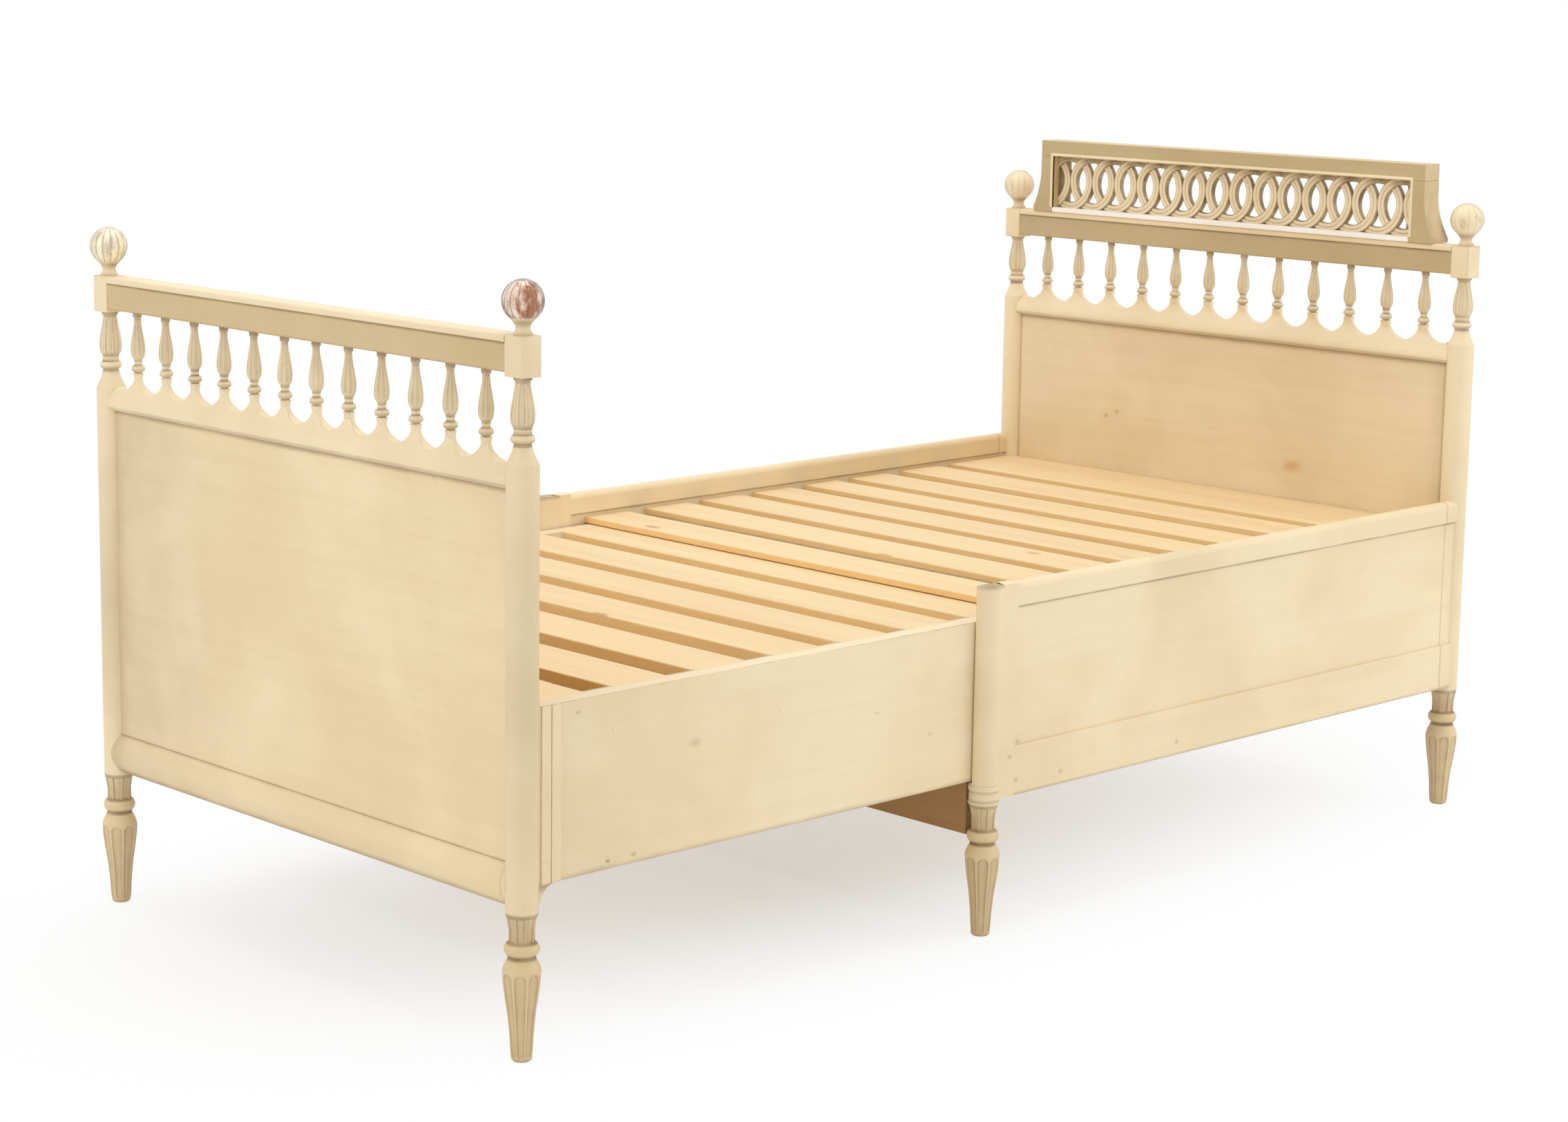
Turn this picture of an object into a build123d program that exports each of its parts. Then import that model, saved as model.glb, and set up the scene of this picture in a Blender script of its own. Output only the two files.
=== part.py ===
"""Swedish pull-out bench bed with six turned legs, in millimetres.

+X runs from the foot to the head, -Y is the near long side and +Z is up.  The origin lies on the
floor under the middle of the bed, which is drawn pulled out to its full length.
"""
from build123d import *
import os

# Plan: distances between post axes
bed_length = 1870.0
pulled_length = 800.0
head_width = 906.0

# Leg, from the floor up
tip_dia = 25.0
tip_round = 4.0
shin_dia = 29.0
shin_height = 24.0
calf_dia = 40.0
calf_height = 72.0
bulb_dia = 48.0
bulb_height = 106.0
bulb_to_ankle = 24.0
bulb_shoulder = 1.6
ankle_dia = 33.0
leg_ring_dia = 43.5
leg_ring_height = 17.0
leg_neck_dia = 32.0
leg_neck_height = 15.0
leg_cove_height = 21.0
leg_cove_hollow = 0.8

# Post above the leg
post_dia = 40.0
post_height = 542.0
shoulder_dia = 20.0
shoulder_height = 25.0
shoulder_hollow = 2.5
post_ring_dia = 29.5
post_ring_height = 10.5
ring_neck_dia = 21.5
ring_neck_height = 9.0
vase_foot_dia = 23.0
vase_dia = 30.5
vase_belly_height = 14.0
vase_neck_height = 39.5
vase_top_dia = 18.0
vase_hollow = 1.0
block_collar_height = 5.0
block_side = 31.0
block_height = 49.0

# Ball finials
ball_dia = 51.0
ball_rise = 40.0
ball_neck_dia = 17.0
ball_cup_dia = 32.0
ball_base_dia = 23.0
ball_base_height = 4.0
ball_peg_dia = 12.0
ball_peg_length = 20.0

# Headboard and footboard
panel_thickness = 14.0
groove_depth = 8.0
bottom_rail_rise = 6.0
bottom_rail_height = 53.0
bottom_rail_depth = 36.0
scallop_rail_height = 54.0
scallop_radius = 28.0
scallop_depth = 27.0
scallop_top_thickness = 11.0
scallop_low_thickness = 16.0
scallop_bulge_thickness = 31.0
scallop_bulge_height = 8.0
scallop_lip_thickness = 27.0
top_rail_height = 35.0
top_rail_depth = 28.0
tenon_length = 9.0
tenon_thickness = 11.0
tenon_shoulder = 9.0
cap_height = 9.0
cap_depth = 33.0
cap_round = 3.0

# Small balusters
baluster_count = 12
baluster_dia = 20.0
baluster_foot_dia = 10.9
baluster_foot_height = 1.5
baluster_neck_dia = 10.5
baluster_waist_dia = 9.0
baluster_ring_dia = 18.5
baluster_ring_height = 9.5
baluster_vase_foot_dia = 12.5
baluster_collar_dia = 12.0
baluster_collar_height = 7.0
baluster_collar_cove = 2.0
baluster_pin_dia = 8.0
baluster_pin_length = 8.0

# Crest on the headboard
crest_height = 121.0
crest_set_in = 66.0
crest_front = 20.0
crest_back = 18.0
crest_back_flare = 7.0
crest_flare = 16.0
crest_flare_height = 65.0
crest_flare_sag = 0.33
crest_plinth = 7.0
crest_stile_width = 26.0
crest_top_rail_height = 26.0
crest_base_height = 8.0
crest_dowel_dia = 10.0
crest_dowel_length = 36.0
fret_thickness = 10.0
fret_setback = 16.0
fret_tongue = 4.0
fret_rings = 15
ring_inner_r = 34.0
ring_outer_r = 49.0

# Fixed sides
side_thickness = 20.0
side_set_in = 3.5
side_rise = 7.0
side_height = 294.0
side_bottom_rail_height = 69.0
side_top_rail_height = 33.0
side_rail_flat = 1.0
side_panel_thickness = 14.0
side_panel_recess = 3.0
side_stile_width = 22.0
side_tongue_thickness = 10.0
side_tongue_inset = 5.0

# Mid posts and cross-board
mid_flat_inset = 1.0
mid_ledge_gap = 3.0
cross_board_thickness = 20.0
cross_board_height = 78.0
cross_board_gap = 2.5
cross_tenon_thickness = 10.0
cross_tenon_height = 21.0
cross_tenon_length = 12.0

# Pull-out rails
slide_gap = 2.5
riding_gap = 0.3
pull_rail_thickness = 30.0
pull_rail_to_post_axis = 10.0
pull_rail_rise = 25.0
pull_rail_height = 219.0
pull_rail_length = 950.0
bracket_drop = 22.0
bracket_length = 25.0
bracket_sag = 0.33
strip_width = 16.0
strip_thickness = 1.5
strips_per_rail = 2
strip_seam = 1.0

# Slats: those at the head lie just above those at the foot
foot_slat_thickness = 16.0
head_slat_thickness = 10.0
slat_round = 2.0
slat_level_gap = 1.0
foot_slat_housing = 8.0
head_slat_housing = 6.0
slat_board_gap = 1.0
# Widths of the hand-sawn slats and the gaps after them, counted from each end of the bed
foot_slat_widths = (103.5, 93.0, 91.0, 86.0, 89.0, 88.0, 92.5)
foot_slat_gaps = (44.5, 44.5, 44.5, 36.5, 34.5, 35.5)
head_slat_widths = (156.0, 88.5, 82.5, 73.5, 81.5, 83.5, 87.5, 84.5)
head_slat_gaps = (33.5, 40.0, 34.5, 36.5, 32.5, 33.5, 41.0)

# Places along X
foot_x = -bed_length / 2
head_x = bed_length / 2
mid_x = foot_x + pulled_length

# Levels of the turned posts
ankle_z = bulb_height + bulb_to_ankle
leg_ring_z = ankle_z + (ankle_dia - leg_neck_dia)
leg_neck_z = leg_ring_z + leg_ring_height
leg_cove_z = leg_neck_z + leg_neck_height
post_bottom = leg_cove_z + leg_cove_height
post_top = post_bottom + post_height
shoulder_top = post_top + shoulder_height
ring_neck_z = shoulder_top + post_ring_height
vase_foot_z = ring_neck_z + ring_neck_height
vase_belly_z = vase_foot_z + vase_belly_height
vase_top_z = vase_belly_z + vase_neck_height
block_bottom = vase_top_z + block_collar_height
block_top = block_bottom + block_height
ball_z = block_top + ball_rise

# Levels of the boards and sides
post_r = post_dia / 2
groove_floor = post_r - groove_depth
bottom_rail_z = post_bottom + bottom_rail_rise
bottom_rail_top = bottom_rail_z + bottom_rail_height
scallop_rail_top = shoulder_top
scallop_rail_z = scallop_rail_top - scallop_rail_height
scallop_low = scallop_rail_top - scallop_depth
top_rail_top = block_top - cap_height
top_rail_z = top_rail_top - top_rail_height
tenon_z_span = (top_rail_z + tenon_shoulder, top_rail_top - tenon_shoulder)
crest_top = block_top + crest_height
crest_rail_z = crest_top - crest_top_rail_height
crest_base_top = block_top + crest_base_height
side_bottom = post_bottom + side_rise
side_top = side_bottom + side_height
side_rail_top = side_bottom + side_bottom_rail_height
side_panel_top = side_top - side_top_rail_height
pull_rail_bottom = side_bottom + pull_rail_rise
pull_rail_top = pull_rail_bottom + pull_rail_height
mid_round_top = pull_rail_bottom - mid_ledge_gap
cross_board_top = pull_rail_bottom - riding_gap
cross_board_bottom = cross_board_top - cross_board_height
cross_tenon_z_span = (mid_round_top - mid_ledge_gap - cross_tenon_height, mid_round_top - mid_ledge_gap)
foot_slat_z = pull_rail_top - foot_slat_thickness
head_slat_z = pull_rail_top + slat_level_gap

# Places across the bed
head_y = head_width / 2
side_inner_y = head_y - side_set_in
side_outer_y = side_inner_y + side_thickness
mid_flat_y = side_inner_y - mid_flat_inset
pull_rail_outer_y = mid_flat_y - slide_gap
pull_rail_inner_y = pull_rail_outer_y - pull_rail_thickness
foot_y = pull_rail_outer_y - pull_rail_to_post_axis
panel_outer_y = side_outer_y - side_panel_recess
panel_inner_y = panel_outer_y - side_panel_thickness
foot_slat_half = pull_rail_inner_y + foot_slat_housing
head_slat_half = panel_inner_y + head_slat_housing
crest_half_width = head_y - crest_set_in
crest_opening_half = crest_half_width - crest_stile_width
fret_pitch = 2 * crest_opening_half / fret_rings

SIDES = {"near": -1, "far": 1}
pieces = {}


def block(x_span, y_span, z_span):
    """A box between two values on each axis, given in either order."""
    spans = (x_span, y_span, z_span)
    size = [abs(high - low) for low, high in spans]
    middle = [(high + low) / 2 for low, high in spans]
    return Pos(*middle) * Box(*size)


def outline(start, *stretches):
    """A closed face from a start point: a point is a line, points in a tuple are a curve."""
    edges = []
    here = start
    for stretch in stretches:
        if not isinstance(stretch[0], tuple):
            edges.append(Line(here, stretch))
            here = stretch
            continue
        if len(stretch) == 2:
            edges.append(ThreePointArc(here, *stretch))
        else:
            edges.append(Spline(here, *stretch))
        here = stretch[-1]
    if here != start:
        edges.append(Line(here, start))
    return make_face(edges)


def turned(*points):
    """A turned piece about Z from its (radius, height) outline, bottom to top."""
    return revolve(Plane.XZ * outline(*points), Axis.Z)


def moulding(section, half_length):
    """An (x, z) section run along Y to both sides of the middle."""
    return extrude(Plane.XZ * section, half_length, both=True)


def bead(radius, z, height, neck_radius):
    """Outline stretch of a half-round ring that starts at height z."""
    return (radius, z + height / 2), (neck_radius, z + height)


def leg_outline():
    """Outline of a leg from the floor to the round post above it."""
    cove_via = ((leg_neck_dia + post_dia) / 4 - leg_cove_hollow, (leg_cove_z + post_bottom) / 2)
    bulb_via = (bulb_dia / 2 - bulb_shoulder, bulb_height + bulb_to_ankle / 2)
    return [
        (0.0, 0.0),
        (tip_dia / 2, 0.0),
        ((tip_dia + shin_dia) / 4, tip_round),
        ((shin_dia / 2, shin_height), (calf_dia / 2, calf_height), (bulb_dia / 2, bulb_height)),
        (bulb_via, (ankle_dia / 2, ankle_z)),
        (leg_neck_dia / 2, leg_ring_z),
        bead(leg_ring_dia / 2, leg_ring_z, leg_ring_height, leg_neck_dia / 2),
        (leg_neck_dia / 2, leg_cove_z),
        (cove_via, (post_r, post_bottom)),
    ]


def end_post_blank():
    """A corner post standing on the origin, with its bore for the ball's peg."""
    ring_neck_r = ring_neck_dia / 2
    shoulder_via = ((post_dia + shoulder_dia) / 4 - shoulder_hollow, (post_top + shoulder_top) / 2)
    vase_via = ((vase_dia + vase_top_dia) / 4 - vase_hollow, (vase_belly_z + vase_top_z) / 2)
    turning = turned(
        *leg_outline(),
        (post_r, post_top),
        (shoulder_via, (shoulder_dia / 2, shoulder_top)),
        (ring_neck_r, shoulder_top),
        bead(post_ring_dia / 2, shoulder_top, post_ring_height, ring_neck_r),
        (ring_neck_r, (ring_neck_z + vase_foot_z) / 2),
        (vase_foot_dia / 2, vase_foot_z),
        ((vase_dia / 2, vase_belly_z), vase_via, (vase_top_dia / 2, vase_top_z)),
        (vase_foot_dia / 2, block_bottom),
        (0.0, block_bottom),
    )
    half = block_side / 2
    head = block((-half, half), (-half, half), (block_bottom, block_top))
    peg_z = block_top - ball_peg_length / 2
    return turning + head - Pos(0, 0, peg_z) * Cylinder(ball_peg_dia / 2, ball_peg_length)


def end_mortises(side):
    """The groove for the board and the mortise for the top rail, on a post's inner side."""
    half = panel_thickness / 2
    groove = block((-half, half), (-side * groove_floor, -side * post_dia), (bottom_rail_z, scallop_low))
    tenon_half = tenon_thickness / 2
    tenon_end = block_side / 2 - tenon_length
    mortise = block((-tenon_half, tenon_half), (-side * tenon_end, -side * block_side), tenon_z_span)
    return groove + mortise


def side_tongue_span():
    """Distance of the side tongue's two faces from the middle of the bed."""
    inner = side_inner_y + side_tongue_inset
    return inner, inner + side_tongue_thickness


def side_groove(towards, axis_y):
    """The groove for a fixed side, towards +X (1) or -X (-1) of a post on the far side."""
    inner, outer = side_tongue_span()
    x_span = (towards * groove_floor, towards * post_dia)
    return block(x_span, (inner - axis_y, outer - axis_y), (side_bottom, side_top))


def foot_post(side):
    """Corner post of the part that pulls out."""
    rail_faces = (side * (pull_rail_inner_y - foot_y), side * (pull_rail_outer_y - foot_y))
    rail_groove = block((groove_floor, post_dia), rail_faces, (pull_rail_bottom, pull_rail_top))
    post = end_post_blank() - end_mortises(side) - rail_groove
    return Pos(foot_x, side * foot_y, 0) * post


def head_post(side):
    """Corner post that carries the headboard and a fixed side."""
    groove = side_groove(-1, head_y)
    if side < 0:
        groove = mirror(groove, about=Plane.XZ)
    return Pos(head_x, side * head_y, 0) * (end_post_blank() - end_mortises(side) - groove)


def mid_post(side):
    """Post at the end of a fixed side: whole below, half-round where the pull-out rail passes."""
    turning = turned(*leg_outline(), (post_r, side_top), (0.0, side_top))
    reach = mid_flat_y - head_y
    flat = block((-post_dia, post_dia), (reach, -post_dia), (mid_round_top, side_top + post_r))
    half = cross_tenon_thickness / 2
    tenon_end = cross_tenon_length - post_r
    mortise = block((-half, half), (-post_dia, tenon_end), cross_tenon_z_span)
    post = turning - flat - mortise - side_groove(1, head_y)
    if side < 0:
        post = mirror(post, about=Plane.XZ)
    return Pos(mid_x, side * head_y, 0) * post


def finial():
    """Ball finial with its base and peg, on the origin of a post."""
    ball_r = ball_dia / 2
    neck_r = ball_neck_dia / 2
    base_r = ball_base_dia / 2
    base_top = block_top + ball_base_height
    cup_r = ball_cup_dia / 2
    ball_start = ball_z - (ball_r**2 - cup_r**2) ** 0.5
    return turned(
        (0.0, block_top - ball_peg_length),
        (ball_peg_dia / 2, block_top - ball_peg_length),
        (ball_peg_dia / 2, block_top),
        (base_r, block_top),
        (base_r, base_top),
        ((neck_r, (base_top + ball_start) / 2), (cup_r, ball_start)),
        ((ball_r, ball_z), (0.0, ball_z + ball_r)),
    )


def end_pitch(axis_y):
    """Distance between balusters when they share the width between two posts evenly."""
    return 2 * axis_y / (baluster_count + 1)


def baluster_places(axis_y):
    """The Y places of a board's balusters."""
    pitch = end_pitch(axis_y)
    return [(index - (baluster_count - 1) / 2) * pitch for index in range(baluster_count)]


def baluster():
    """A small turned baluster with a pin at each end, on the origin's axis."""
    pin_r = baluster_pin_dia / 2
    neck_r = baluster_neck_dia / 2
    waist_r = baluster_waist_dia / 2
    collar_r = baluster_collar_dia / 2
    ring_z = scallop_rail_top + baluster_foot_height
    ring_top = ring_z + baluster_ring_height
    collar_z = top_rail_z - baluster_collar_height
    vase_via = ((baluster_dia + baluster_waist_dia) / 4 - vase_hollow, (vase_belly_z + collar_z) / 2)
    return turned(
        (0.0, scallop_rail_top - baluster_pin_length),
        (pin_r, scallop_rail_top - baluster_pin_length),
        (pin_r, scallop_rail_top),
        (baluster_foot_dia / 2, scallop_rail_top),
        (neck_r, ring_z),
        bead(baluster_ring_dia / 2, ring_z, baluster_ring_height, neck_r),
        (neck_r, (ring_top + vase_foot_z) / 2),
        (baluster_vase_foot_dia / 2, vase_foot_z),
        ((baluster_dia / 2, vase_belly_z), vase_via, (waist_r, collar_z - baluster_collar_cove)),
        (collar_r, collar_z),
        (collar_r, top_rail_z),
        (pin_r, top_rail_z),
        (pin_r, top_rail_z + baluster_pin_length),
        (0.0, top_rail_z + baluster_pin_length),
    )


def pin_holes(axis_y, z_low):
    """Bores for one row of baluster pins, from z_low upwards."""
    bore = Cylinder(baluster_pin_dia / 2, baluster_pin_length)
    z_middle = z_low + baluster_pin_length / 2
    return [Pos(0, y, z_middle) * bore for y in baluster_places(axis_y)]


def top_rail(axis_y):
    """Rail between the square blocks, with a tenon at each end."""
    half = top_rail_depth / 2
    shoulder = axis_y - block_side / 2
    body = block((-half, half), (-shoulder, shoulder), (top_rail_z, top_rail_top))
    tenon_half = tenon_thickness / 2
    reach = shoulder + tenon_length
    tenons = block((-tenon_half, tenon_half), (-reach, reach), tenon_z_span)
    return body + tenons - pin_holes(axis_y, top_rail_z)


def cap(axis_y):
    """Flat capping on a top rail, with rounded upper edges."""
    half = cap_depth / 2
    shoulder = axis_y - block_side / 2
    body = block((-half, half), (-shoulder, shoulder), (top_rail_top, block_top))
    edges = body.edges().filter_by(Axis.Y)
    return fillet(edges, cap_round)


def scallop_rail(axis_y, posts):
    """Rail under the balusters: round cut-outs leave a cusp under each baluster."""
    lip = scallop_lip_thickness / 2
    bulge = (scallop_bulge_thickness / 2, scallop_rail_z + scallop_bulge_height)
    low = (scallop_low_thickness / 2, scallop_low)
    top = (scallop_top_thickness / 2, scallop_rail_top)
    half_section = outline(
        (0.0, scallop_rail_z),
        (lip, scallop_rail_z),
        (bulge, low, top),
        (0.0, scallop_rail_top),
    )
    section = half_section + mirror(half_section, about=Plane.YZ)
    rail = moulding(section, axis_y)
    bite = Plane.YZ * Cylinder(scallop_radius, 2 * post_dia)
    pitch = end_pitch(axis_y)
    reach = baluster_count // 2
    bites = [Pos(0, step * pitch, scallop_low + scallop_radius) * bite for step in range(-reach, reach + 1)]
    rail = rail - bites - pin_holes(axis_y, scallop_rail_top - baluster_pin_length)
    for side in SIDES.values():
        y_span = (side * (axis_y - post_r), side * axis_y)
        rail -= block((-post_dia, post_dia), y_span, (scallop_low, top_rail_z))
    return rail - posts


def bottom_rail(axis_y, posts):
    """Bottom rail with rounded faces."""
    neck = panel_thickness / 2
    bulge = bottom_rail_depth / 2
    middle = bottom_rail_z + bottom_rail_height / 2
    section = outline(
        (-neck, bottom_rail_z),
        (neck, bottom_rail_z),
        ((bulge, middle), (neck, bottom_rail_top)),
        (-neck, bottom_rail_top),
        ((-bulge, middle), (-neck, bottom_rail_z)),
    )
    return moulding(section, axis_y) - posts


def board(axis_y):
    """The plain board between the bottom rail and the scalloped rail."""
    half = panel_thickness / 2
    reach = axis_y - groove_floor
    return block((-half, half), (-reach, reach), (bottom_rail_top, scallop_rail_z))


def build_end(name, axis_x, axis_y, posts):
    """Rails, balusters and board of the headboard or footboard."""
    place = Pos(axis_x, 0, 0)
    local_posts = [place.inverse() * post for post in posts]
    turning = baluster()
    balusters = [place * Pos(0, y, 0) * turning for y in baluster_places(axis_y)]
    pieces[f"{name}_top_rail"] = place * top_rail(axis_y)
    pieces[f"{name}_cap"] = place * cap(axis_y)
    pieces[f"{name}_balusters"] = Compound(children=balusters)
    pieces[f"{name}_scallop_rail"] = place * scallop_rail(axis_y, local_posts)
    pieces[f"{name}_board"] = place * board(axis_y)
    pieces[f"{name}_bottom_rail"] = place * bottom_rail(axis_y, local_posts)


def crest_blank():
    """The whole crest as one block: flared at both ends and at the back."""
    plinth = block_top + crest_plinth
    wide = crest_half_width + crest_flare
    flare_top = block_top + crest_flare_height
    middle = (plinth + flare_top) / 2
    flare_via = crest_half_width + crest_flare * crest_flare_sag
    front = outline(
        (-wide, block_top),
        (wide, block_top),
        (wide, plinth),
        ((flare_via, middle), (crest_half_width, flare_top)),
        (crest_half_width, crest_top),
        (-crest_half_width, crest_top),
        (-crest_half_width, flare_top),
        ((-flare_via, middle), (-wide, plinth)),
    )
    deep = crest_back + crest_back_flare
    side = outline(
        (-crest_front, block_top),
        (deep, block_top),
        (deep, plinth),
        ((crest_back + crest_back_flare * crest_flare_sag, middle), (crest_back, flare_top)),
        (crest_back, crest_top),
        (-crest_front, crest_top),
    )
    return extrude(Plane.YZ * front, 2 * deep, both=True) & moulding(side, 2 * wide)


def ring_eye():
    """Almond opening that two neighbouring rings share, about the point midway between them."""
    half_width = ring_inner_r - fret_pitch / 2
    tip = (ring_inner_r**2 - fret_pitch**2 / 4) ** 0.5
    return outline((0.0, -tip), ((half_width, 0.0), (0.0, tip)), ((-half_width, 0.0), (0.0, -tip)))


def ring_notch():
    """Opening inside a ring, above the crossing of its two neighbours."""
    point = (ring_outer_r**2 - fret_pitch**2) ** 0.5
    corner_y = (fret_pitch**2 + ring_inner_r**2 - ring_outer_r**2) / (2 * fret_pitch)
    corner_z = (ring_inner_r**2 - corner_y**2) ** 0.5
    via_z = (point + corner_z) / 2
    via_y = fret_pitch - (ring_outer_r**2 - via_z**2) ** 0.5
    return outline(
        (0.0, point),
        ((via_y, via_z), (corner_y, corner_z)),
        ((0.0, ring_inner_r), (-corner_y, corner_z)),
        ((-via_y, via_z), (0.0, point)),
    )


def fret_board():
    """Board pierced as a row of interlaced rings."""
    x_front = -crest_front + fret_setback
    z_low = crest_base_top - fret_tongue
    z_high = crest_rail_z + fret_tongue
    reach = crest_opening_half + fret_tongue
    board_blank = block((x_front, x_front + fret_thickness), (-reach, reach), (z_low, z_high))
    middle = (crest_base_top + crest_rail_z) / 2
    eye_bite = extrude(Plane.YZ * ring_eye(), 2 * crest_front, both=True)
    notch_bite = extrude(Plane.YZ * ring_notch(), 2 * crest_front, both=True)
    low_notch = mirror(notch_bite, about=Plane.XY)
    bites = []
    for index in range(fret_rings):
        y = (index - (fret_rings - 1) / 2) * fret_pitch
        bites.append(Pos(0, y, middle) * notch_bite)
        bites.append(Pos(0, y, middle) * low_notch)
        if index:
            bites.append(Pos(0, y - fret_pitch / 2, middle) * eye_bite)
    return board_blank - bites


def crest_dowels():
    """Dowels that pin the crest's stiles to the capping and the top rail."""
    y = (crest_opening_half + crest_half_width) / 2
    dowel = Cylinder(crest_dowel_dia / 2, crest_dowel_length)
    return [Pos(0, side * y, block_top) * dowel for side in SIDES.values()]


def build_crest():
    """Crest frame, its pierced board and its dowels, on the headboard."""
    place = Pos(head_x, 0, 0)
    blank = crest_blank()
    fret = fret_board()
    dowels = crest_dowels()
    wide = 2 * crest_half_width
    deep = 2 * bottom_rail_depth
    inner = crest_opening_half
    top = block((-deep, deep), (-wide, wide), (crest_rail_z, crest_top))
    base = block((-deep, deep), (-inner, inner), (block_top, crest_base_top))
    pieces["crest_top_rail"] = place * ((blank & top) - fret)
    pieces["crest_base_rail"] = place * ((blank & base) - fret)
    for name, side in SIDES.items():
        stile = block((-deep, deep), (side * inner, side * wide), (block_top, crest_rail_z))
        pieces[f"crest_stile_{name}"] = place * ((blank & stile) - fret - dowels)
    pieces["crest_fretwork"] = place * fret
    pieces["crest_dowels"] = Compound(children=[place * dowel for dowel in dowels])
    for node in ("headboard_cap", "headboard_top_rail"):
        pieces[node] = pieces[node] - [place * dowel for dowel in dowels]


def side_piece(side, x_span, y_span, z_span, posts):
    """A member of a fixed side, scribed to the posts it meets."""
    return block(x_span, [side * y for y in y_span], z_span) - posts


def build_side(name, side, posts, housed):
    """Rails, stile and panel between a mid post and a head post, let out for what is housed."""
    faces = (side_inner_y, side_outer_y)
    stile_x = mid_x + post_r + side_stile_width
    stile = side_piece(side, (mid_x, stile_x), faces, (side_bottom, side_top), posts)
    rail_x = (stile_x, head_x)
    top = block(rail_x, [side * y for y in faces], (side_panel_top, side_top))
    crown = top.edges().filter_by(Axis.X).group_by(Axis.Z)[-1]
    top = fillet(crown, (side_thickness - side_rail_flat) / 2) - posts
    bottom = side_piece(side, rail_x, faces, (side_bottom, side_rail_top), posts)
    panel_faces = (panel_inner_y, panel_outer_y)
    panel = side_piece(side, rail_x, panel_faces, (side_rail_top, side_panel_top), [*posts, *housed])
    pieces[f"side_stile_{name}"] = stile
    pieces[f"side_top_rail_{name}"] = top
    pieces[f"side_bottom_rail_{name}"] = bottom
    pieces[f"side_panel_{name}"] = panel


def cross_board():
    """Raw board between the mid legs, on whose top edge the pull-out rails run."""
    half = cross_board_thickness / 2
    reach = head_y - post_r - cross_board_gap
    body = block((-half, half), (-reach, reach), (cross_board_bottom, cross_board_top))
    tenon_half = cross_tenon_thickness / 2
    tenon_reach = head_y - post_r + cross_tenon_length
    tenons = block((-tenon_half, tenon_half), (-tenon_reach, tenon_reach), cross_tenon_z_span)
    return Pos(mid_x, 0, 0) * (body + tenons)


def slat_spans(board_x, towards, widths, gaps):
    """X spans of a run of slats, from the board at one end towards the middle of the bed."""
    spans = []
    edge = board_x + towards * (panel_thickness / 2 + slat_board_gap)
    for width, gap in zip(widths, gaps + (0.0,)):
        spans.append((edge, edge + towards * width))
        edge += towards * (width + gap)
    return spans


def slat(x_span, half_length, z_low, thickness):
    """A slat across the bed, with eased long edges."""
    body = block(x_span, (-half_length, half_length), (z_low, z_low + thickness))
    return fillet(body.edges().filter_by(Axis.Y), slat_round)


def pull_out_rail(side, neighbours):
    """Rail that slides beside a fixed side, scribed to the post and let out for the slats."""
    rail_start = foot_x + groove_floor
    post_face = foot_x + post_r
    bracket_bottom = pull_rail_bottom - bracket_drop
    bracket_via = (post_face + bracket_length * bracket_sag, pull_rail_bottom - bracket_drop * bracket_sag)
    rail_end = foot_x + pull_rail_length
    section = outline(
        (rail_start, bracket_bottom),
        (post_face, bracket_bottom),
        (bracket_via, (post_face + bracket_length, pull_rail_bottom)),
        (rail_end, pull_rail_bottom),
        (rail_end, pull_rail_top),
        (rail_start, pull_rail_top),
    )
    blank = extrude(Plane.XZ * section, pull_rail_thickness / 2, both=True)
    middle_y = (pull_rail_outer_y + pull_rail_inner_y) / 2
    return Pos(0, side * middle_y, 0) * blank - neighbours


def rail_end_strips():
    """Thin upright strips on the outer face of each pull-out rail, beside the foot post."""
    strips = []
    faces = (pull_rail_outer_y, pull_rail_outer_y + strip_thickness)
    for side in SIDES.values():
        for index in range(strips_per_rail):
            left = foot_x + post_r + index * strip_width + strip_seam
            x_span = (left, left + strip_width - strip_seam)
            strips.append(block(x_span, [side * y for y in faces], (pull_rail_bottom, pull_rail_top)))
    return Compound(children=strips)


def build_bed():
    """All pieces of the bed, pulled out."""
    head_posts = []
    foot_posts = []
    ball = finial()
    for name, side in SIDES.items():
        pieces[f"head_post_{name}"] = head_post(side)
        pieces[f"mid_post_{name}"] = mid_post(side)
        pieces[f"foot_post_{name}"] = foot_post(side)
        pieces[f"head_finial_{name}"] = Pos(head_x, side * head_y, 0) * ball
        pieces[f"foot_finial_{name}"] = Pos(foot_x, side * foot_y, 0) * ball
        head_posts.append(pieces[f"head_post_{name}"])
        foot_posts.append(pieces[f"foot_post_{name}"])
    build_end("headboard", head_x, head_y, head_posts)
    build_end("footboard", foot_x, foot_y, foot_posts)
    build_crest()
    pieces["cross_board"] = cross_board()
    in_side_panels = []
    for number, x_span in enumerate(slat_spans(head_x, -1, head_slat_widths, head_slat_gaps), 1):
        head_slat = slat(x_span, head_slat_half, head_slat_z, head_slat_thickness) - head_posts
        pieces[f"head_slat_{number}"] = head_slat
        in_side_panels.append(head_slat)
    in_pull_rails = [*foot_posts, pieces["footboard_bottom_rail"]]
    for number, x_span in enumerate(slat_spans(foot_x, 1, foot_slat_widths, foot_slat_gaps), 1):
        foot_slat = slat(x_span, foot_slat_half, foot_slat_z, foot_slat_thickness) - foot_posts
        pieces[f"foot_slat_{number}"] = foot_slat
        in_pull_rails.append(foot_slat)
    for name, side in SIDES.items():
        side_posts = [pieces[f"mid_post_{name}"], pieces[f"head_post_{name}"]]
        build_side(name, side, side_posts, in_side_panels)
        pieces[f"pull_out_rail_{name}"] = pull_out_rail(side, in_pull_rails)
    pieces["rail_end_strips"] = rail_end_strips()


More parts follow.
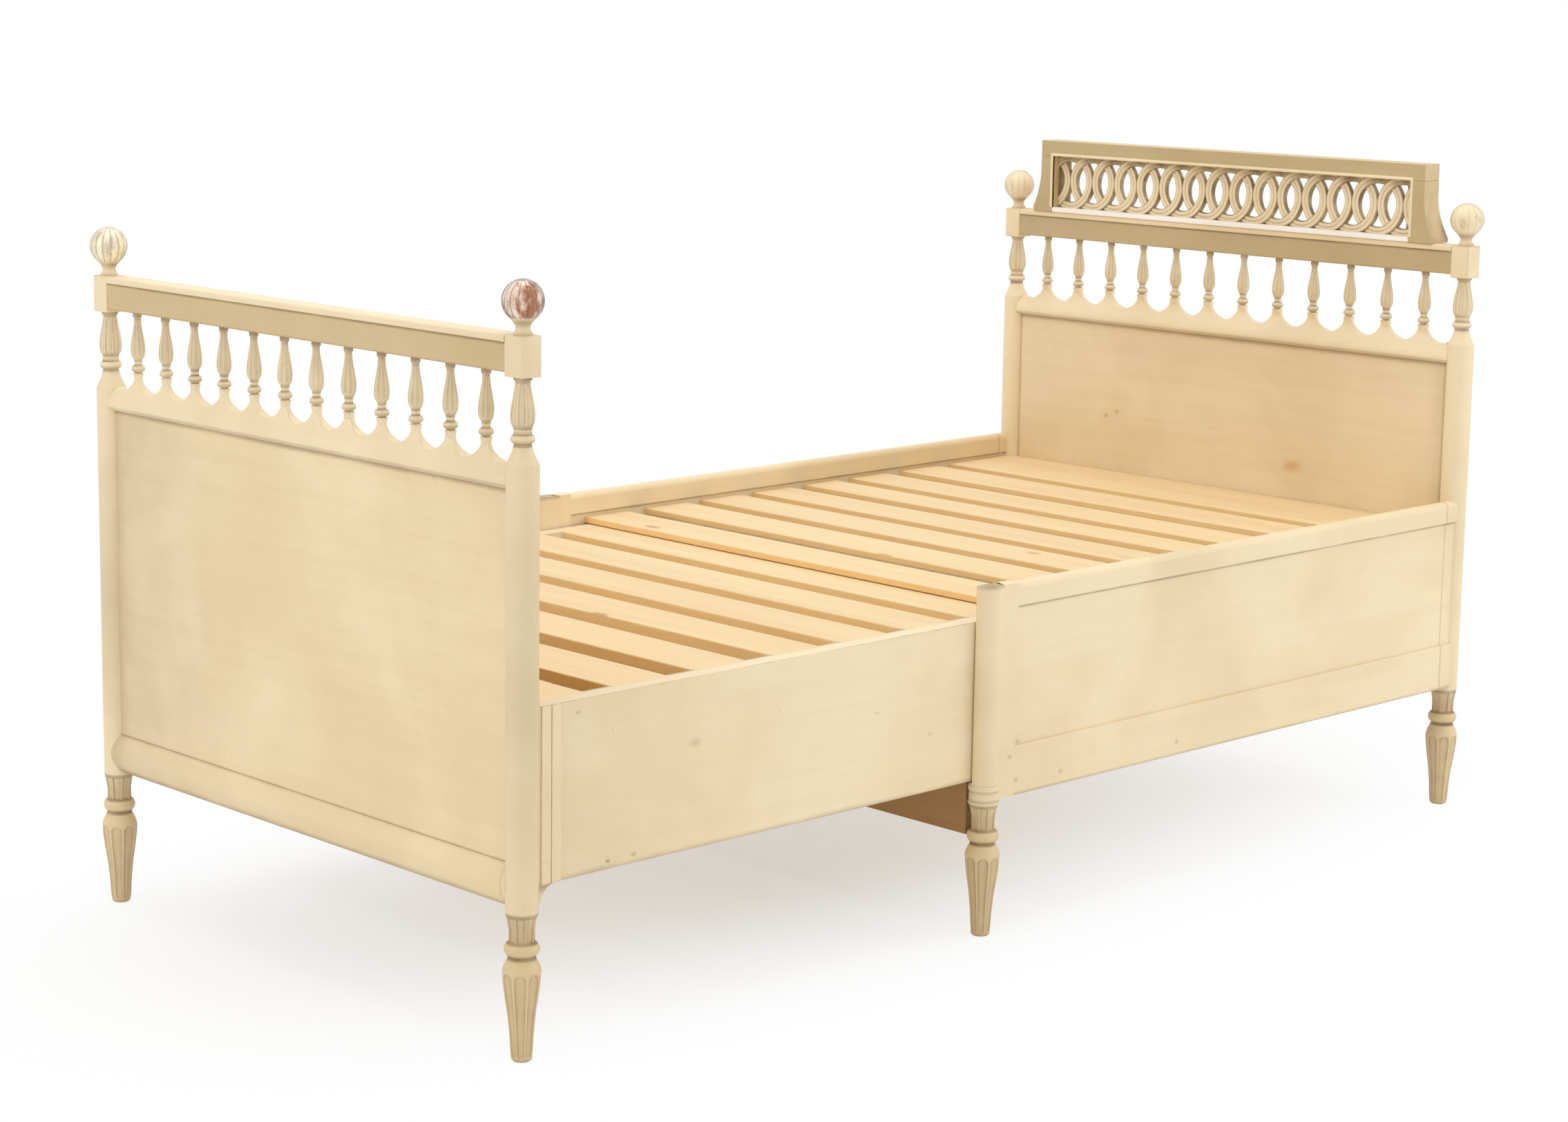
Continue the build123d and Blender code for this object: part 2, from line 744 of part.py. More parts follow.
build_bed()
os.makedirs("parts", exist_ok=True)
for node, shape in pieces.items():
    export_step(shape, f"parts/{node}.step")
print(len(pieces), "nodes")
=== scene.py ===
"""Carved, turned and painted pieces of a Swedish pull-out bench bed, laid out as an add-on.

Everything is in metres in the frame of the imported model: +X runs from the foot to the head, -Y is
the near long side, +Z is up, and the floor is at zero.
"""
import math

import bmesh
import bpy
from bpy.props import FloatProperty, FloatVectorProperty, IntProperty, PointerProperty
from bpy.types import Operator, Panel, PropertyGroup
from mathutils import Matrix, Vector


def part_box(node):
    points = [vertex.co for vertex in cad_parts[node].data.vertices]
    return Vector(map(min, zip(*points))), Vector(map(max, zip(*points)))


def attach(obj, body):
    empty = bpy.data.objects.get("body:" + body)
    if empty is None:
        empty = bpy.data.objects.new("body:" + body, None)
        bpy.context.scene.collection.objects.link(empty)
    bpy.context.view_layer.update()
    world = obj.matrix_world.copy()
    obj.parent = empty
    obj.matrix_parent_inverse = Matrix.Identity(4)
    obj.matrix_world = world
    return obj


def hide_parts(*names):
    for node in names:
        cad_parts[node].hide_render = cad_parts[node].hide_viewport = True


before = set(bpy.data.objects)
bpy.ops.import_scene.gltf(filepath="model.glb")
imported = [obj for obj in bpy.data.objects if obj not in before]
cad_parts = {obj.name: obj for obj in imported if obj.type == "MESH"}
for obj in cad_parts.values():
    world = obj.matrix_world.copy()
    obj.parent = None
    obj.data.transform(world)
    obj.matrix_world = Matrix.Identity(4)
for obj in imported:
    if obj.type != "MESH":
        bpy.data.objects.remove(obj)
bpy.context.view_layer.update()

bl_info = {
    "name": "Swedish Pull-out Bench Bed",
    "version": (1, 0, 0),
    "blender": (4, 5, 0),
    "location": "3D View > Sidebar > Bench Bed",
    "description": "Turns, carves and paints the pieces of a pull-out bench bed over its packed frame",
    "category": "Object",
}

MM = 0.001
TONGUE = 4 * MM
FLUTE_SHARE = 0.84
LATHE_SEGMENTS = 128
FLAT_ANGLE = math.radians(0.3)
SHARP_ANGLE = math.radians(40)
HEAD = "head_section"
FOOT = "foot_section"
ENDS = {"headboard": HEAD, "footboard": FOOT}
SIDES = {"near": -1, "far": 1}


def tint(red, green, blue):
    """Linear colour from the usual 0-255 values."""
    return tuple((value / 255) ** 2.2 for value in (red, green, blue))


def darker(shade, *shares):
    """A colour with a share of each channel left."""
    return tuple(channel * share for channel, share in zip(shade, shares))


def lighter(shade, share):
    """A colour raised by a share, no further than white."""
    return tuple(min(1.0, channel * share) for channel in shade)


def middle(node):
    """Middle of a node's box."""
    low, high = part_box(node)
    return (Vector(low) + Vector(high)) / 2


# ---- settings


def length_setting(name, description, millimetres):
    """A setting for a length, with its default in millimetres."""
    return FloatProperty(name=name, description=description, default=millimetres * MM, unit="LENGTH")


def colour_setting(name, description, shade):
    """A setting for a colour, with its default in linear values."""
    return FloatVectorProperty(name=name, description=description, default=shade, subtype="COLOR")


class BedTurning(PropertyGroup):
    """Sizes of the turner's and carver's work."""

    flutes: IntProperty(name="Flutes", description="Flutes round each leg and vase", default=8, min=3)
    flute_depth: length_setting("Flute depth", "Depth of a leg flute", 1.9)
    neck_flute_depth: length_setting("Neck flute depth", "Depth of a neck's square-ended flute", 1.7)
    vase_flute_depth: length_setting("Vase flute depth", "Depth of a flute on a post's vase", 1.1)
    ball_lobes: IntProperty(name="Ball lobes", description="Lobes round a ball finial", default=14, min=3)
    ball_lobe_depth: length_setting("Foot lobe depth", "Depth between a foot ball's lobes", 1.2)
    head_lobe_depth: length_setting("Head lobe depth", "Depth between a head ball's lobes", 0.35)
    arris: length_setting("Arris", "Width of the worn arris on sawn pieces", 1.1)
    rail_arris: length_setting("Rail arris", "Width of the worn arris on the pull-out rails", 2.6)
    band_groove: length_setting("Band groove", "Depth of the groove along a crest band", 1.3)
    weave: length_setting("Weave", "Rise of a crest band where it passes over another", 1.5)
    bead: length_setting("Crest bead", "Width of the bead round the crest's opening", 5.0)


class BedFinish(PropertyGroup):
    """Colours of the paints, woods and gilding."""

    cream: colour_setting("Cream paint", "Paint of the posts, rails and sides", tint(237, 218, 181))
    foot_cream: colour_setting("Footboard paint", "The same paint, a little yellowed", tint(236, 214, 173))
    # The headboard paint is darker and warmer than the cream: painted shade and warm bounce from the pine
    # inside the bed.
    head_shaded_cream: colour_setting("Headboard paint", "The same paint, yellowed by bedding", tint(231, 210, 171))
    ledge: colour_setting("Ledge paint", "Newer white paint on the crest's base rail", tint(250, 244, 238))
    ochre: colour_setting("Ochre paint", "Paint of the head's top rail and the crest", tint(191, 169, 127))
    pale_ochre: colour_setting("Faded ochre", "The same paint on the foot's top rail", tint(207, 183, 138))
    # Umber darkens seams and hollows as painted shade as well as dirt, and colours the marks and pegs.
    umber: colour_setting("Umber", "Old dirt in grooves and hollows", tint(112, 86, 52))
    # Colour of the dark patch at the rear foot of the crest's near stile.
    dark_patch: colour_setting("Soot", "Blackened patch on the crest's near end", tint(84, 60, 34))
    resin: colour_setting("Resin", "Knots that bleed through the paint", tint(196, 142, 84))
    bare: colour_setting("Rubbed edge", "Wood where the paint is rubbed away", tint(176, 150, 116))
    pine: colour_setting("Pine", "Bare pine of the slats", tint(234, 208, 162))
    # The sawn-edge colour near the foot is darkened as painted shade for the dark under the slats; the next
    # colour is for the edges further in.
    shaded_pine_edge: colour_setting("Sawn pine", "Darkened sawn edges of the slats", tint(218, 170, 108))
    inner_pine_edge: colour_setting("Fresh sawn pine", "The same edges further in", tint(253, 213, 150))
    board: colour_setting("Old board", "Unpainted wood of the hidden boards", tint(168, 130, 84))
    leaf: colour_setting("Gold leaf", "What is left of the leaf on the foot balls", tint(246, 224, 204))
    bole: colour_setting("Bole", "Red-brown ground under the leaf", tint(166, 108, 76))
    rub: FloatProperty(
        name="Rubbing", description="How much paint is rubbed from the arrises",
        default=0.6, min=0, max=1, subtype="FACTOR",
    )


class BedStage(PropertyGroup):
    """Light and floor of the studio."""

    sky: FloatProperty(name="Sky", description="Strength of the even light", default=0.82, min=0)
    key: FloatProperty(name="Key lamp", description="Power of the lamp on the left", default=22.0, min=0)
    fill: FloatProperty(name="Fill lamp", description="Power of the lamp on the right", default=30.0, min=0)
    top: FloatProperty(name="Top lamp", description="Power of the lamp overhead", default=56.0, min=0)
    floor: colour_setting("Floor", "Colour of the floor", (0.92, 0.935, 0.955))
    shade: FloatProperty(
        name="Floor shade", description="Share of the shadow that the floor shows",
        default=0.60, min=0, max=1, subtype="FACTOR",
    )


# ---- shader helpers


def fill(tree, made, inputs):
    """Gives a node its inputs, each a socket or a value; colours are given as three numbers."""
    for key, value in inputs.items():
        socket = made.inputs[key]
        if isinstance(value, bpy.types.NodeSocket):
            tree.links.new(value, socket)
        else:
            socket.default_value = (*value, 1) if socket.type == "RGBA" else value


def add(tree, kind, inputs=None, **settings):
    """A node with its settings and its inputs."""
    made = tree.nodes.new(kind)
    for key, value in settings.items():
        setattr(made, key, value)
    fill(tree, made, inputs or {})
    return made


def maths(tree, operation, first, second=0.0):
    """Result of a sum on two values."""
    return add(tree, "ShaderNodeMath", {0: first, 1: second}, operation=operation).outputs[0]


def times(tree, first, second):
    """Product of two values."""
    return maths(tree, "MULTIPLY", first, second)


def vector_maths(tree, operation, first, second=(0, 0, 0)):
    """Vector result of a sum on two vectors."""
    return add(tree, "ShaderNodeVectorMath", {0: first, 1: second}, operation=operation).outputs[0]


def measure(tree, operation, first, second=(0, 0, 0)):
    """Value of a sum on two vectors."""
    made = add(tree, "ShaderNodeVectorMath", {0: first, 1: second}, operation=operation)
    return made.outputs["Value"]


def part_of(tree, vector, axis):
    """One coordinate of a vector."""
    return add(tree, "ShaderNodeSeparateXYZ", {0: vector}).outputs[axis]


def channel_of(tree, shade, channel):
    """One channel of a colour."""
    return add(tree, "ShaderNodeSeparateColor", {0: shade}).outputs[channel]


def blend(tree, factor, first, second, how="MIX"):
    """Two colours mixed."""
    made = add(tree, "ShaderNodeMix", {0: factor, 6: first, 7: second}, data_type="RGBA", blend_type=how)
    return made.outputs[2]


def over(tree, base, mask, strength, shade):
    """A colour laid over another through a mask."""
    return blend(tree, times(tree, mask, strength), base, shade)


def spread(tree, value, low, high, to_low=0.0, to_high=1.0):
    """A value stretched softly from one range to another."""
    inputs = {"Value": value, "From Min": low, "From Max": high, "To Min": to_low, "To Max": to_high}
    made = add(tree, "ShaderNodeMapRange", inputs, interpolation_type="SMOOTHSTEP")
    return made.outputs[0]


def clouds(tree, place, scale, detail=3.0, roughness=0.55, distortion=0.0):
    """Noise from 0 to 1."""
    inputs = {
        "Vector": place, "Scale": scale, "Detail": detail, "Roughness": roughness, "Distortion": distortion,
    }
    return add(tree, "ShaderNodeTexNoise", inputs).outputs["Fac"]


def spots(tree, place, scale):
    """Cells strewn at random, each with a distance from its middle and a colour of its own."""
    inputs = {"Vector": place, "Scale": scale, "Randomness": 1.0}
    return add(tree, "ShaderNodeTexVoronoi", inputs)


def new_group(name, inputs, outputs):
    """An empty shader group with its sockets, given as (name, kind, default)."""
    tree = bpy.data.node_groups.new(name, "ShaderNodeTree")
    for label, kind, default in inputs:
        socket = tree.interface.new_socket(label, in_out="INPUT", socket_type=kind)
        if default is not None:
            socket.default_value = default
    for label, kind in outputs:
        tree.interface.new_socket(label, in_out="OUTPUT", socket_type=kind)
    way_in = tree.nodes.new("NodeGroupInput")
    way_out = tree.nodes.new("NodeGroupOutput")
    return tree, way_in.outputs, way_out.inputs


def use(tree, group, inputs):
    """A group placed in a material."""
    made = tree.nodes.new("ShaderNodeGroup")
    made.node_tree = bpy.data.node_groups[group]
    fill(tree, made, inputs)
    return made.outputs


FLOAT = "NodeSocketFloat"
VECTOR = "NodeSocketVector"


def build_grain_group():
    """Long grain: growth rings cut lengthways, with finer fibres between them."""
    tree, given, wanted = new_group(
        "Long grain",
        [("Place", VECTOR, None), ("Along", VECTOR, (1, 1, 1)), ("Scale", FLOAT, 60.0)],
        [("Rings", FLOAT), ("Fibres", FLOAT)],
    )
    place = vector_maths(tree, "MULTIPLY", given["Place"], given["Along"])
    bend = clouds(tree, place, 6.0, 2.0)
    drift = add(tree, "ShaderNodeCombineXYZ", {0: bend, 1: bend, 2: bend}).outputs[0]
    drift = vector_maths(tree, "MULTIPLY", drift, (0.03, 0.03, 0.03))
    place = vector_maths(tree, "ADD", place, drift)
    rings = clouds(tree, place, given["Scale"], 2.5, 0.6, 0.3)
    tree.links.new(spread(tree, rings, 0.35, 0.7), wanted["Rings"])
    fine = times(tree, given["Scale"], 6.0)
    tree.links.new(clouds(tree, place, fine, 2.0, 0.6), wanted["Fibres"])


def build_rub_group():
    """Rubbed arrises: finds sharp edges and breaks them up with noise."""
    tree, given, wanted = new_group(
        "Rubbed arris",
        [("Place", VECTOR, None), ("Reach", FLOAT, 0.003), ("Amount", FLOAT, 0.6)],
        [("Mask", FLOAT)],
    )
    rounded = add(tree, "ShaderNodeBevel", {"Radius": given["Reach"]}, samples=4).outputs[0]
    flat = tree.nodes.new("ShaderNodeNewGeometry").outputs["Normal"]
    facing = measure(tree, "DOT_PRODUCT", rounded, flat)
    edge = spread(tree, maths(tree, "SUBTRACT", 1.0, facing), 0.01, 0.16)
    broken = maths(tree, "ADD", clouds(tree, given["Place"], 55.0, 5.0, 0.65), given["Amount"])
    patchy = maths(tree, "ADD", clouds(tree, given["Place"], 7.0, 2.0), broken)
    shown = spread(tree, patchy, 1.45, 1.85)
    tree.links.new(times(tree, edge, shown), wanted["Mask"])


def build_mottle_group():
    """Uneven old paint: broad yellowing and small specks of dirt."""
    tree, given, wanted = new_group(
        "Old paint mottle",
        [("Place", VECTOR, None), ("Scale", FLOAT, 4.0)],
        [("Broad", FLOAT), ("Specks", FLOAT)],
    )
    tree.links.new(clouds(tree, given["Place"], given["Scale"], 3.0, 0.6, 0.4), wanted["Broad"])
    cells = spots(tree, given["Place"], 85.0)
    near = spread(tree, cells.outputs["Distance"], 0.16, 0.05)
    chosen = channel_of(tree, cells.outputs["Color"], 0)
    few = spread(tree, chosen, 0.982, 0.988)
    tree.links.new(times(tree, near, few), wanted["Specks"])


def build_knot_group():
    """One knot: a dark eye with grain rings round it, at a given place."""
    tree, given, wanted = new_group(
        "Knot",
        [("Place", VECTOR, None), ("Centre", VECTOR, None), ("Shape", VECTOR, (1, 1, 1)),
         ("Radius", FLOAT, 0.01)],
        [("Mask", FLOAT)],
    )
    away = vector_maths(tree, "SUBTRACT", given["Place"], given["Centre"])
    away = vector_maths(tree, "MULTIPLY", away, given["Shape"])
    wander = clouds(tree, given["Place"], 40.0, 3.0)
    length = maths(tree, "DIVIDE", measure(tree, "LENGTH", away), given["Radius"])
    length = maths(tree, "ADD", length, times(tree, wander, 0.5))
    eye = spread(tree, length, 1.0, 0.25)
    wave = maths(tree, "SINE", times(tree, length, 9.0))
    wave = times(tree, spread(tree, wave, 0.2, 1.0), spread(tree, length, 2.4, 0.8))
    tree.links.new(maths(tree, "MAXIMUM", eye, times(tree, wave, 0.14)), wanted["Mask"])


def build_seam_group():
    """Darkening along a seam, used for dirt and for painted shade: a soft line where one coordinate of the
    piece has a given value.
    """
    tree, given, wanted = new_group(
        "Seam dirt and shade",
        [("Place", VECTOR, None), ("Across", VECTOR, (0, 0, 1)), ("At", FLOAT, 0.0),
         ("Width", FLOAT, 0.005)],
        [("Mask", FLOAT)],
    )
    level = measure(tree, "DOT_PRODUCT", given["Place"], given["Across"])
    off = maths(tree, "ABSOLUTE", maths(tree, "SUBTRACT", level, given["At"]))
    off = maths(tree, "DIVIDE", off, given["Width"])
    wander = times(tree, clouds(tree, given["Place"], 12.0, 3.0), 0.7)
    tree.links.new(spread(tree, maths(tree, "ADD", off, wander), 1.3, 0.2), wanted["Mask"])


def build_hollow_group():
    """Dirt and painted shade in carved hollows and creases, from the depth that the carver's pieces carry.
    """
    tree, given, wanted = new_group(
        "Dirt and shade in hollows", [("Place", VECTOR, None), ("Amount", FLOAT, 0.5)], [("Mask", FLOAT)]
    )
    depth = add(tree, "ShaderNodeAttribute", attribute_name="hollow").outputs["Fac"]
    uneven = spread(tree, clouds(tree, given["Place"], 38.0, 4.0), 0.2, 0.75, 0.45, 1.0)
    amount = times(tree, given["Amount"], uneven)
    tree.links.new(times(tree, depth, amount), wanted["Mask"])


GROUPS = (
    build_grain_group, build_rub_group, build_mottle_group, build_knot_group, build_seam_group,
    build_hollow_group,
)


def new_material(name):
    """A material with its shader and the place of each point on the piece."""
    material = bpy.data.materials.new(name)
    material.use_nodes = True
    tree = material.node_tree
    shader = tree.nodes["Principled BSDF"]
    place = tree.nodes.new("ShaderNodeTexCoord").outputs["Object"]
    return material, tree, shader, place


def finish_surface(tree, shader, colour, roughness, height, distance):
    """Joins the colour, the roughness and the relief to the shader."""
    tree.links.new(colour, shader.inputs["Base Color"])
    tree.links.new(roughness, shader.inputs["Roughness"])
    bump = add(tree, "ShaderNodeBump", {"Height": height, "Strength": 1.0, "Distance": distance})
    tree.links.new(bump.outputs[0], shader.inputs["Normal"])


ALONG = {"x": (0.05, 1, 1), "y": (1, 0.05, 1), "z": (1, 1, 0.05)}
AXES = {"x": (1, 0, 0), "y": (0, 1, 0), "z": (0, 0, 1)}


def paint_material(name, colour, along, knots=(), seams=(), grain=0.10, worn=1.0, darker_below=None):
    """Old oil paint on pine, rubbed at the arrises, darkened in hollows and along seams by dirt and painted
    shade, and darker below a given height.

    Knots are (centre, shape, radius, strength, colour); seams are (axis, place, width, strength).
    """
    finish = bpy.context.scene.bed_finish
    material, tree, shader, place = new_material(name)
    grain_out = use(tree, "Long grain", {"Place": place, "Along": ALONG[along], "Scale": 55.0})
    mottle = use(tree, "Old paint mottle", {"Place": place, "Scale": 3.5})
    rub = use(tree, "Rubbed arris", {"Place": place, "Reach": 2.6 * MM, "Amount": finish.rub * worn})["Mask"]
    dirt = use(tree, "Dirt and shade in hollows", {"Place": place, "Amount": 0.9})["Mask"]
    dark = darker(colour, 0.93, 0.905, 0.85)
    base = blend(tree, spread(tree, mottle["Broad"], 0.3, 0.7), dark, lighter(colour, 1.035))
    base = over(tree, base, grain_out["Rings"], grain, darker(colour, 0.72, 0.66, 0.55))
    base = over(tree, base, mottle["Specks"], 0.3, finish.umber)
    relief = times(tree, grain_out["Fibres"], 0.35)
    relief = maths(tree, "ADD", relief, times(tree, grain_out["Rings"], 0.5))
    if darker_below:
        low_darkening = spread(tree, part_of(tree, place, 2), darker_below, darker_below * 0.8)
        base = blend(tree, low_darkening, base, blend(tree, 1.0, base, (0.88, 0.83, 0.73), "MULTIPLY"))
    for centre, shape, radius, strength, stain in knots:
        inputs = {"Place": place, "Centre": centre, "Shape": shape, "Radius": radius}
        base = over(tree, base, use(tree, "Knot", inputs)["Mask"], strength, stain)
    for axis, at, width, strength in seams:
        inputs = {"Place": place, "Across": AXES[axis], "At": at, "Width": width}
        base = over(tree, base, use(tree, "Seam dirt and shade", inputs)["Mask"], strength, finish.umber)
    # Hollows darken with umber: dirt and painted shade.
    base = blend(tree, dirt, base, finish.umber)
    base = over(tree, base, rub, 0.7, finish.bare)
    gloss = spread(tree, mottle["Broad"], 0.2, 0.8, 0.36, 0.52)
    gloss = maths(tree, "ADD", gloss, times(tree, maths(tree, "ADD", rub, dirt), 0.3))
    finish_surface(tree, shader, base, gloss, relief, 0.25 * MM)
    return material


def pine_material(name, along, face, edge, strength, fresh=None):
    """Bare pine with rings and knots, darker on its sawn edges; near the foot the edges also carry painted
    shade, giving way to a lighter edge colour towards the head.
    """
    material, tree, shader, place = new_material(name)
    grain_out = use(tree, "Long grain", {"Place": place, "Along": ALONG[along], "Scale": 34.0})
    late = darker(face, 0.80, 0.68, 0.52)
    base = over(tree, lighter(face, 1.05), grain_out["Rings"], strength, late)
    base = over(tree, base, grain_out["Fibres"], 0.12, late)
    broad = clouds(tree, vector_maths(tree, "MULTIPLY", place, (9.0, 1.2, 1.0)), 1.0, 2.0)
    base = blend(tree, spread(tree, broad, 0.3, 0.75, 0.0, 0.3), base, darker(face, 0.86, 0.86, 0.86))
    cells = spots(tree, vector_maths(tree, "MULTIPLY", place, (1.0, 0.55, 1.0)), 9.0)
    wander = times(tree, clouds(tree, place, 60.0, 3.0), 0.05)
    length = maths(tree, "ADD", cells.outputs["Distance"], wander)
    chosen = channel_of(tree, cells.outputs["Color"], 1)
    eye = times(tree, spread(tree, length, 0.13, 0.06), spread(tree, chosen, 0.45, 0.5))
    base = over(tree, base, eye, 0.55, darker(face, 0.42, 0.26, 0.14))
    normal = tree.nodes.new("ShaderNodeNewGeometry").outputs["Normal"]
    sawn = spread(tree, maths(tree, "ABSOLUTE", part_of(tree, normal, 2)), 0.75, 0.25)
    # fresh is the lighter edge colour further in; the darker edge near the foot is painted shade.
    if fresh:
        further_in = spread(tree, part_of(tree, place, 0), -0.86, -0.45)
        edge = blend(tree, further_in, edge, fresh)
    furred = blend(tree, 1.0, edge, (0.75, 0.72, 0.66), "MULTIPLY")
    edge = over(tree, edge, grain_out["Fibres"], 0.6, furred)
    base = blend(tree, sawn, base, edge)
    relief = maths(tree, "ADD", grain_out["Rings"], times(tree, grain_out["Fibres"], 0.6))
    gloss = spread(tree, grain_out["Fibres"], 0.2, 0.8, 0.55, 0.72)
    finish_surface(tree, shader, base, gloss, relief, 0.3 * MM)
    return material


def ball_material(name, leaf, bole, worn, shine, rim):
    """Old gilding on a turned ball: leaf rubbed through to the bole, with painted shade darkening it towards
    its outline.
    """
    finish = bpy.context.scene.bed_finish
    material, tree, shader, place = new_material(name)
    broad = clouds(tree, vector_maths(tree, "MULTIPLY", place, (1.0, 1.0, 0.35)), 60.0, 4.0, 0.6, 0.3)
    fine = clouds(tree, place, 260.0, 3.0, 0.6)
    gone = maths(tree, "ADD", broad, times(tree, fine, 0.2))
    gone = spread(tree, gone, worn, worn + 0.22)
    base = blend(tree, gone, leaf, bole)
    dirt = use(tree, "Dirt and shade in hollows", {"Place": place, "Amount": 0.85})["Mask"]
    # Lobe grooves darken with dirt and painted shade.
    base = blend(tree, dirt, base, finish.umber)
    # Painted shade: the ball darkens towards its outline, where its surface turns from view.
    edge = add(tree, "ShaderNodeLayerWeight", {"Blend": 0.5}).outputs["Facing"]
    edge = times(tree, spread(tree, edge, 0.3, 0.75), rim)
    base = blend(tree, edge, base, (0.26, 0.235, 0.22))
    gloss = spread(tree, gone, 0.0, 1.0, 0.34, 0.55)
    metal = times(tree, maths(tree, "SUBTRACT", 1.0, gone), shine)
    tree.links.new(metal, shader.inputs["Metallic"])
    finish_surface(tree, shader, base, gloss, maths(tree, "SUBTRACT", fine, gone), 0.2 * MM)
    return material


# ---- mesh helpers


def placed(name, data):
    """A new object in the scene."""
    made = bpy.data.objects.new(name, data)
    bpy.context.collection.objects.link(made)
    return made


def finish_piece(name, bm, body, materials, nodes=(), angle=32.0, weighted=False):
    """Turns a bmesh into a named piece that rides on a body and stands for its nodes."""
    bmesh.ops.recalc_face_normals(bm, faces=bm.faces)
    mesh = bpy.data.meshes.new(name)
    bm.to_mesh(mesh)
    bm.free()
    mesh.shade_smooth()
    for material in materials:
        mesh.materials.append(bpy.data.materials[material])
    piece = placed(name, mesh)
    if weighted:
        soft = piece.modifiers.new("Even shading", "WEIGHTED_NORMAL")
        soft.keep_sharp = True
        soft.weight = 80
    else:
        mesh.set_sharp_from_angle(angle=math.radians(angle))
    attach(piece, body)
    if nodes:
        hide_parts(*nodes)
    return piece


def curve_through(points, step):
    """Points along a smooth curve through (height, radius) points, about step apart."""
    if len(points) == 2:
        (z0, r0), (z1, r1) = points
        count = max(1, round(math.hypot(z1 - z0, r1 - r0) / step))
        return [(z0 + (z1 - z0) * k / count, r0 + (r1 - r0) * k / count) for k in range(count + 1)]
    ends = [points[0], *points, points[-1]]
    found = []
    for before, here, there, after in zip(ends, ends[1:], ends[2:], ends[3:]):
        count = max(2, round(math.dist(here, there) / step))
        for k in range(count):
            t = k / count
            found.append(tuple(
                0.5 * (2 * b + (c - a) * t + (2 * a - 5 * b + 4 * c - d) * t * t
                       + (3 * b - a - 3 * c + d) * t**3)
                for a, b, c, d in zip(before, here, there, after)
            ))
    return [*found, points[-1]]


def turned_rows(runs, step):
    """Rows of (height, radius, hollow) from smooth runs that meet at corners; hollow grows where the profile
    pinches in, as painted shade and dirt in the creases.
    """
    rows = []
    for run in runs:
        fresh = curve_through(run, step)
        rows.extend(fresh[1:] if rows and rows[-1] == fresh[0] else fresh)
    marked = []
    for index, (z, r) in enumerate(rows):
        low = [row[1] for row in rows[max(0, index - 3): index]] or [r]
        high = [row[1] for row in rows[index + 1: index + 4]] or [r]
        pinch = (sum(low) / len(low) + sum(high) / len(high)) / 2 - r
        marked.append((z, r, min(1.0, max(0.0, (pinch - 0.3) / 0.9))))
    return marked


def skin(bm, loops):
    """Faces between each closed loop of corners and the next."""
    for here, there in zip(loops, loops[1:]):
        for index in range(len(here)):
            after = (index + 1) % len(here)
            bm.faces.new((here[index], here[after], there[after], there[index]))


def lathe(bm, rows, centre, segments, carving=None, trim=None):
    """Turns rows, given in millimetres, about an upright axis; carving cuts in by angle and height."""
    hollow = bm.verts.layers.float.get("hollow") or bm.verts.layers.float.new("hollow")
    rings = []
    for z, r, pinch in rows:
        ring = []
        for k in range(segments):
            angle = 2 * math.pi * k / segments
            cut, dirt = carving(z, angle, r) if carving else (0.0, 0.0)
            x = (r - cut) * math.cos(angle)
            y = (r - cut) * math.sin(angle)
            if trim:
                x, y = trim(x, y, z)
            vert = bm.verts.new((centre[0] + x * MM, centre[1] + y * MM, z * MM))
            # hollow holds the darkening of creases, flutes and bands: dirt and painted shade.
            vert[hollow] = min(1.0, max(pinch, dirt))
            ring.append(vert)
        rings.append(ring)
    skin(bm, rings)
    bm.faces.new(reversed(rings[0]))
    bm.faces.new(rings[-1])


def round_flute(angle, z, low, high, count, share, radius, depth):
    """Cut of round-bottomed flutes with round ends, and their darkening: a little dirt, with painted shade
    growing towards the flute's edges.
    """
    if not low < z < high:
        return 0.0, 0.0
    pitch = 2 * math.pi / count
    off = abs((angle + pitch / 2) % pitch - pitch / 2)
    width = pitch * share / 2
    reach = width * radius
    end = min(z - low, high - z)
    if end < reach:
        width *= math.sqrt(1 - (1 - end / reach) ** 2)
    if off >= width:
        return 0.0, 0.0
    level = math.sqrt(1 - (off / width) ** 2)
    return depth * level, 0.2 + 0.6 * (off / width) ** 3


def square_flute(angle, z, low, high, count, share, depth):
    """Cut of flat-bottomed flutes with square ends, and their darkening: painted shade, strongest at the
    walls and ends.
    """
    pitch = 2 * math.pi / count
    off = abs((angle + pitch / 2) % pitch - pitch / 2)
    width = pitch * share / 2
    if not low < z < high or off >= width:
        return 0.0, 0.0
    rim = min((width - off) / width * 3, (z - low) / 3, (high - z) / 3, 1.0)
    return depth, 0.75 - 0.45 * rim


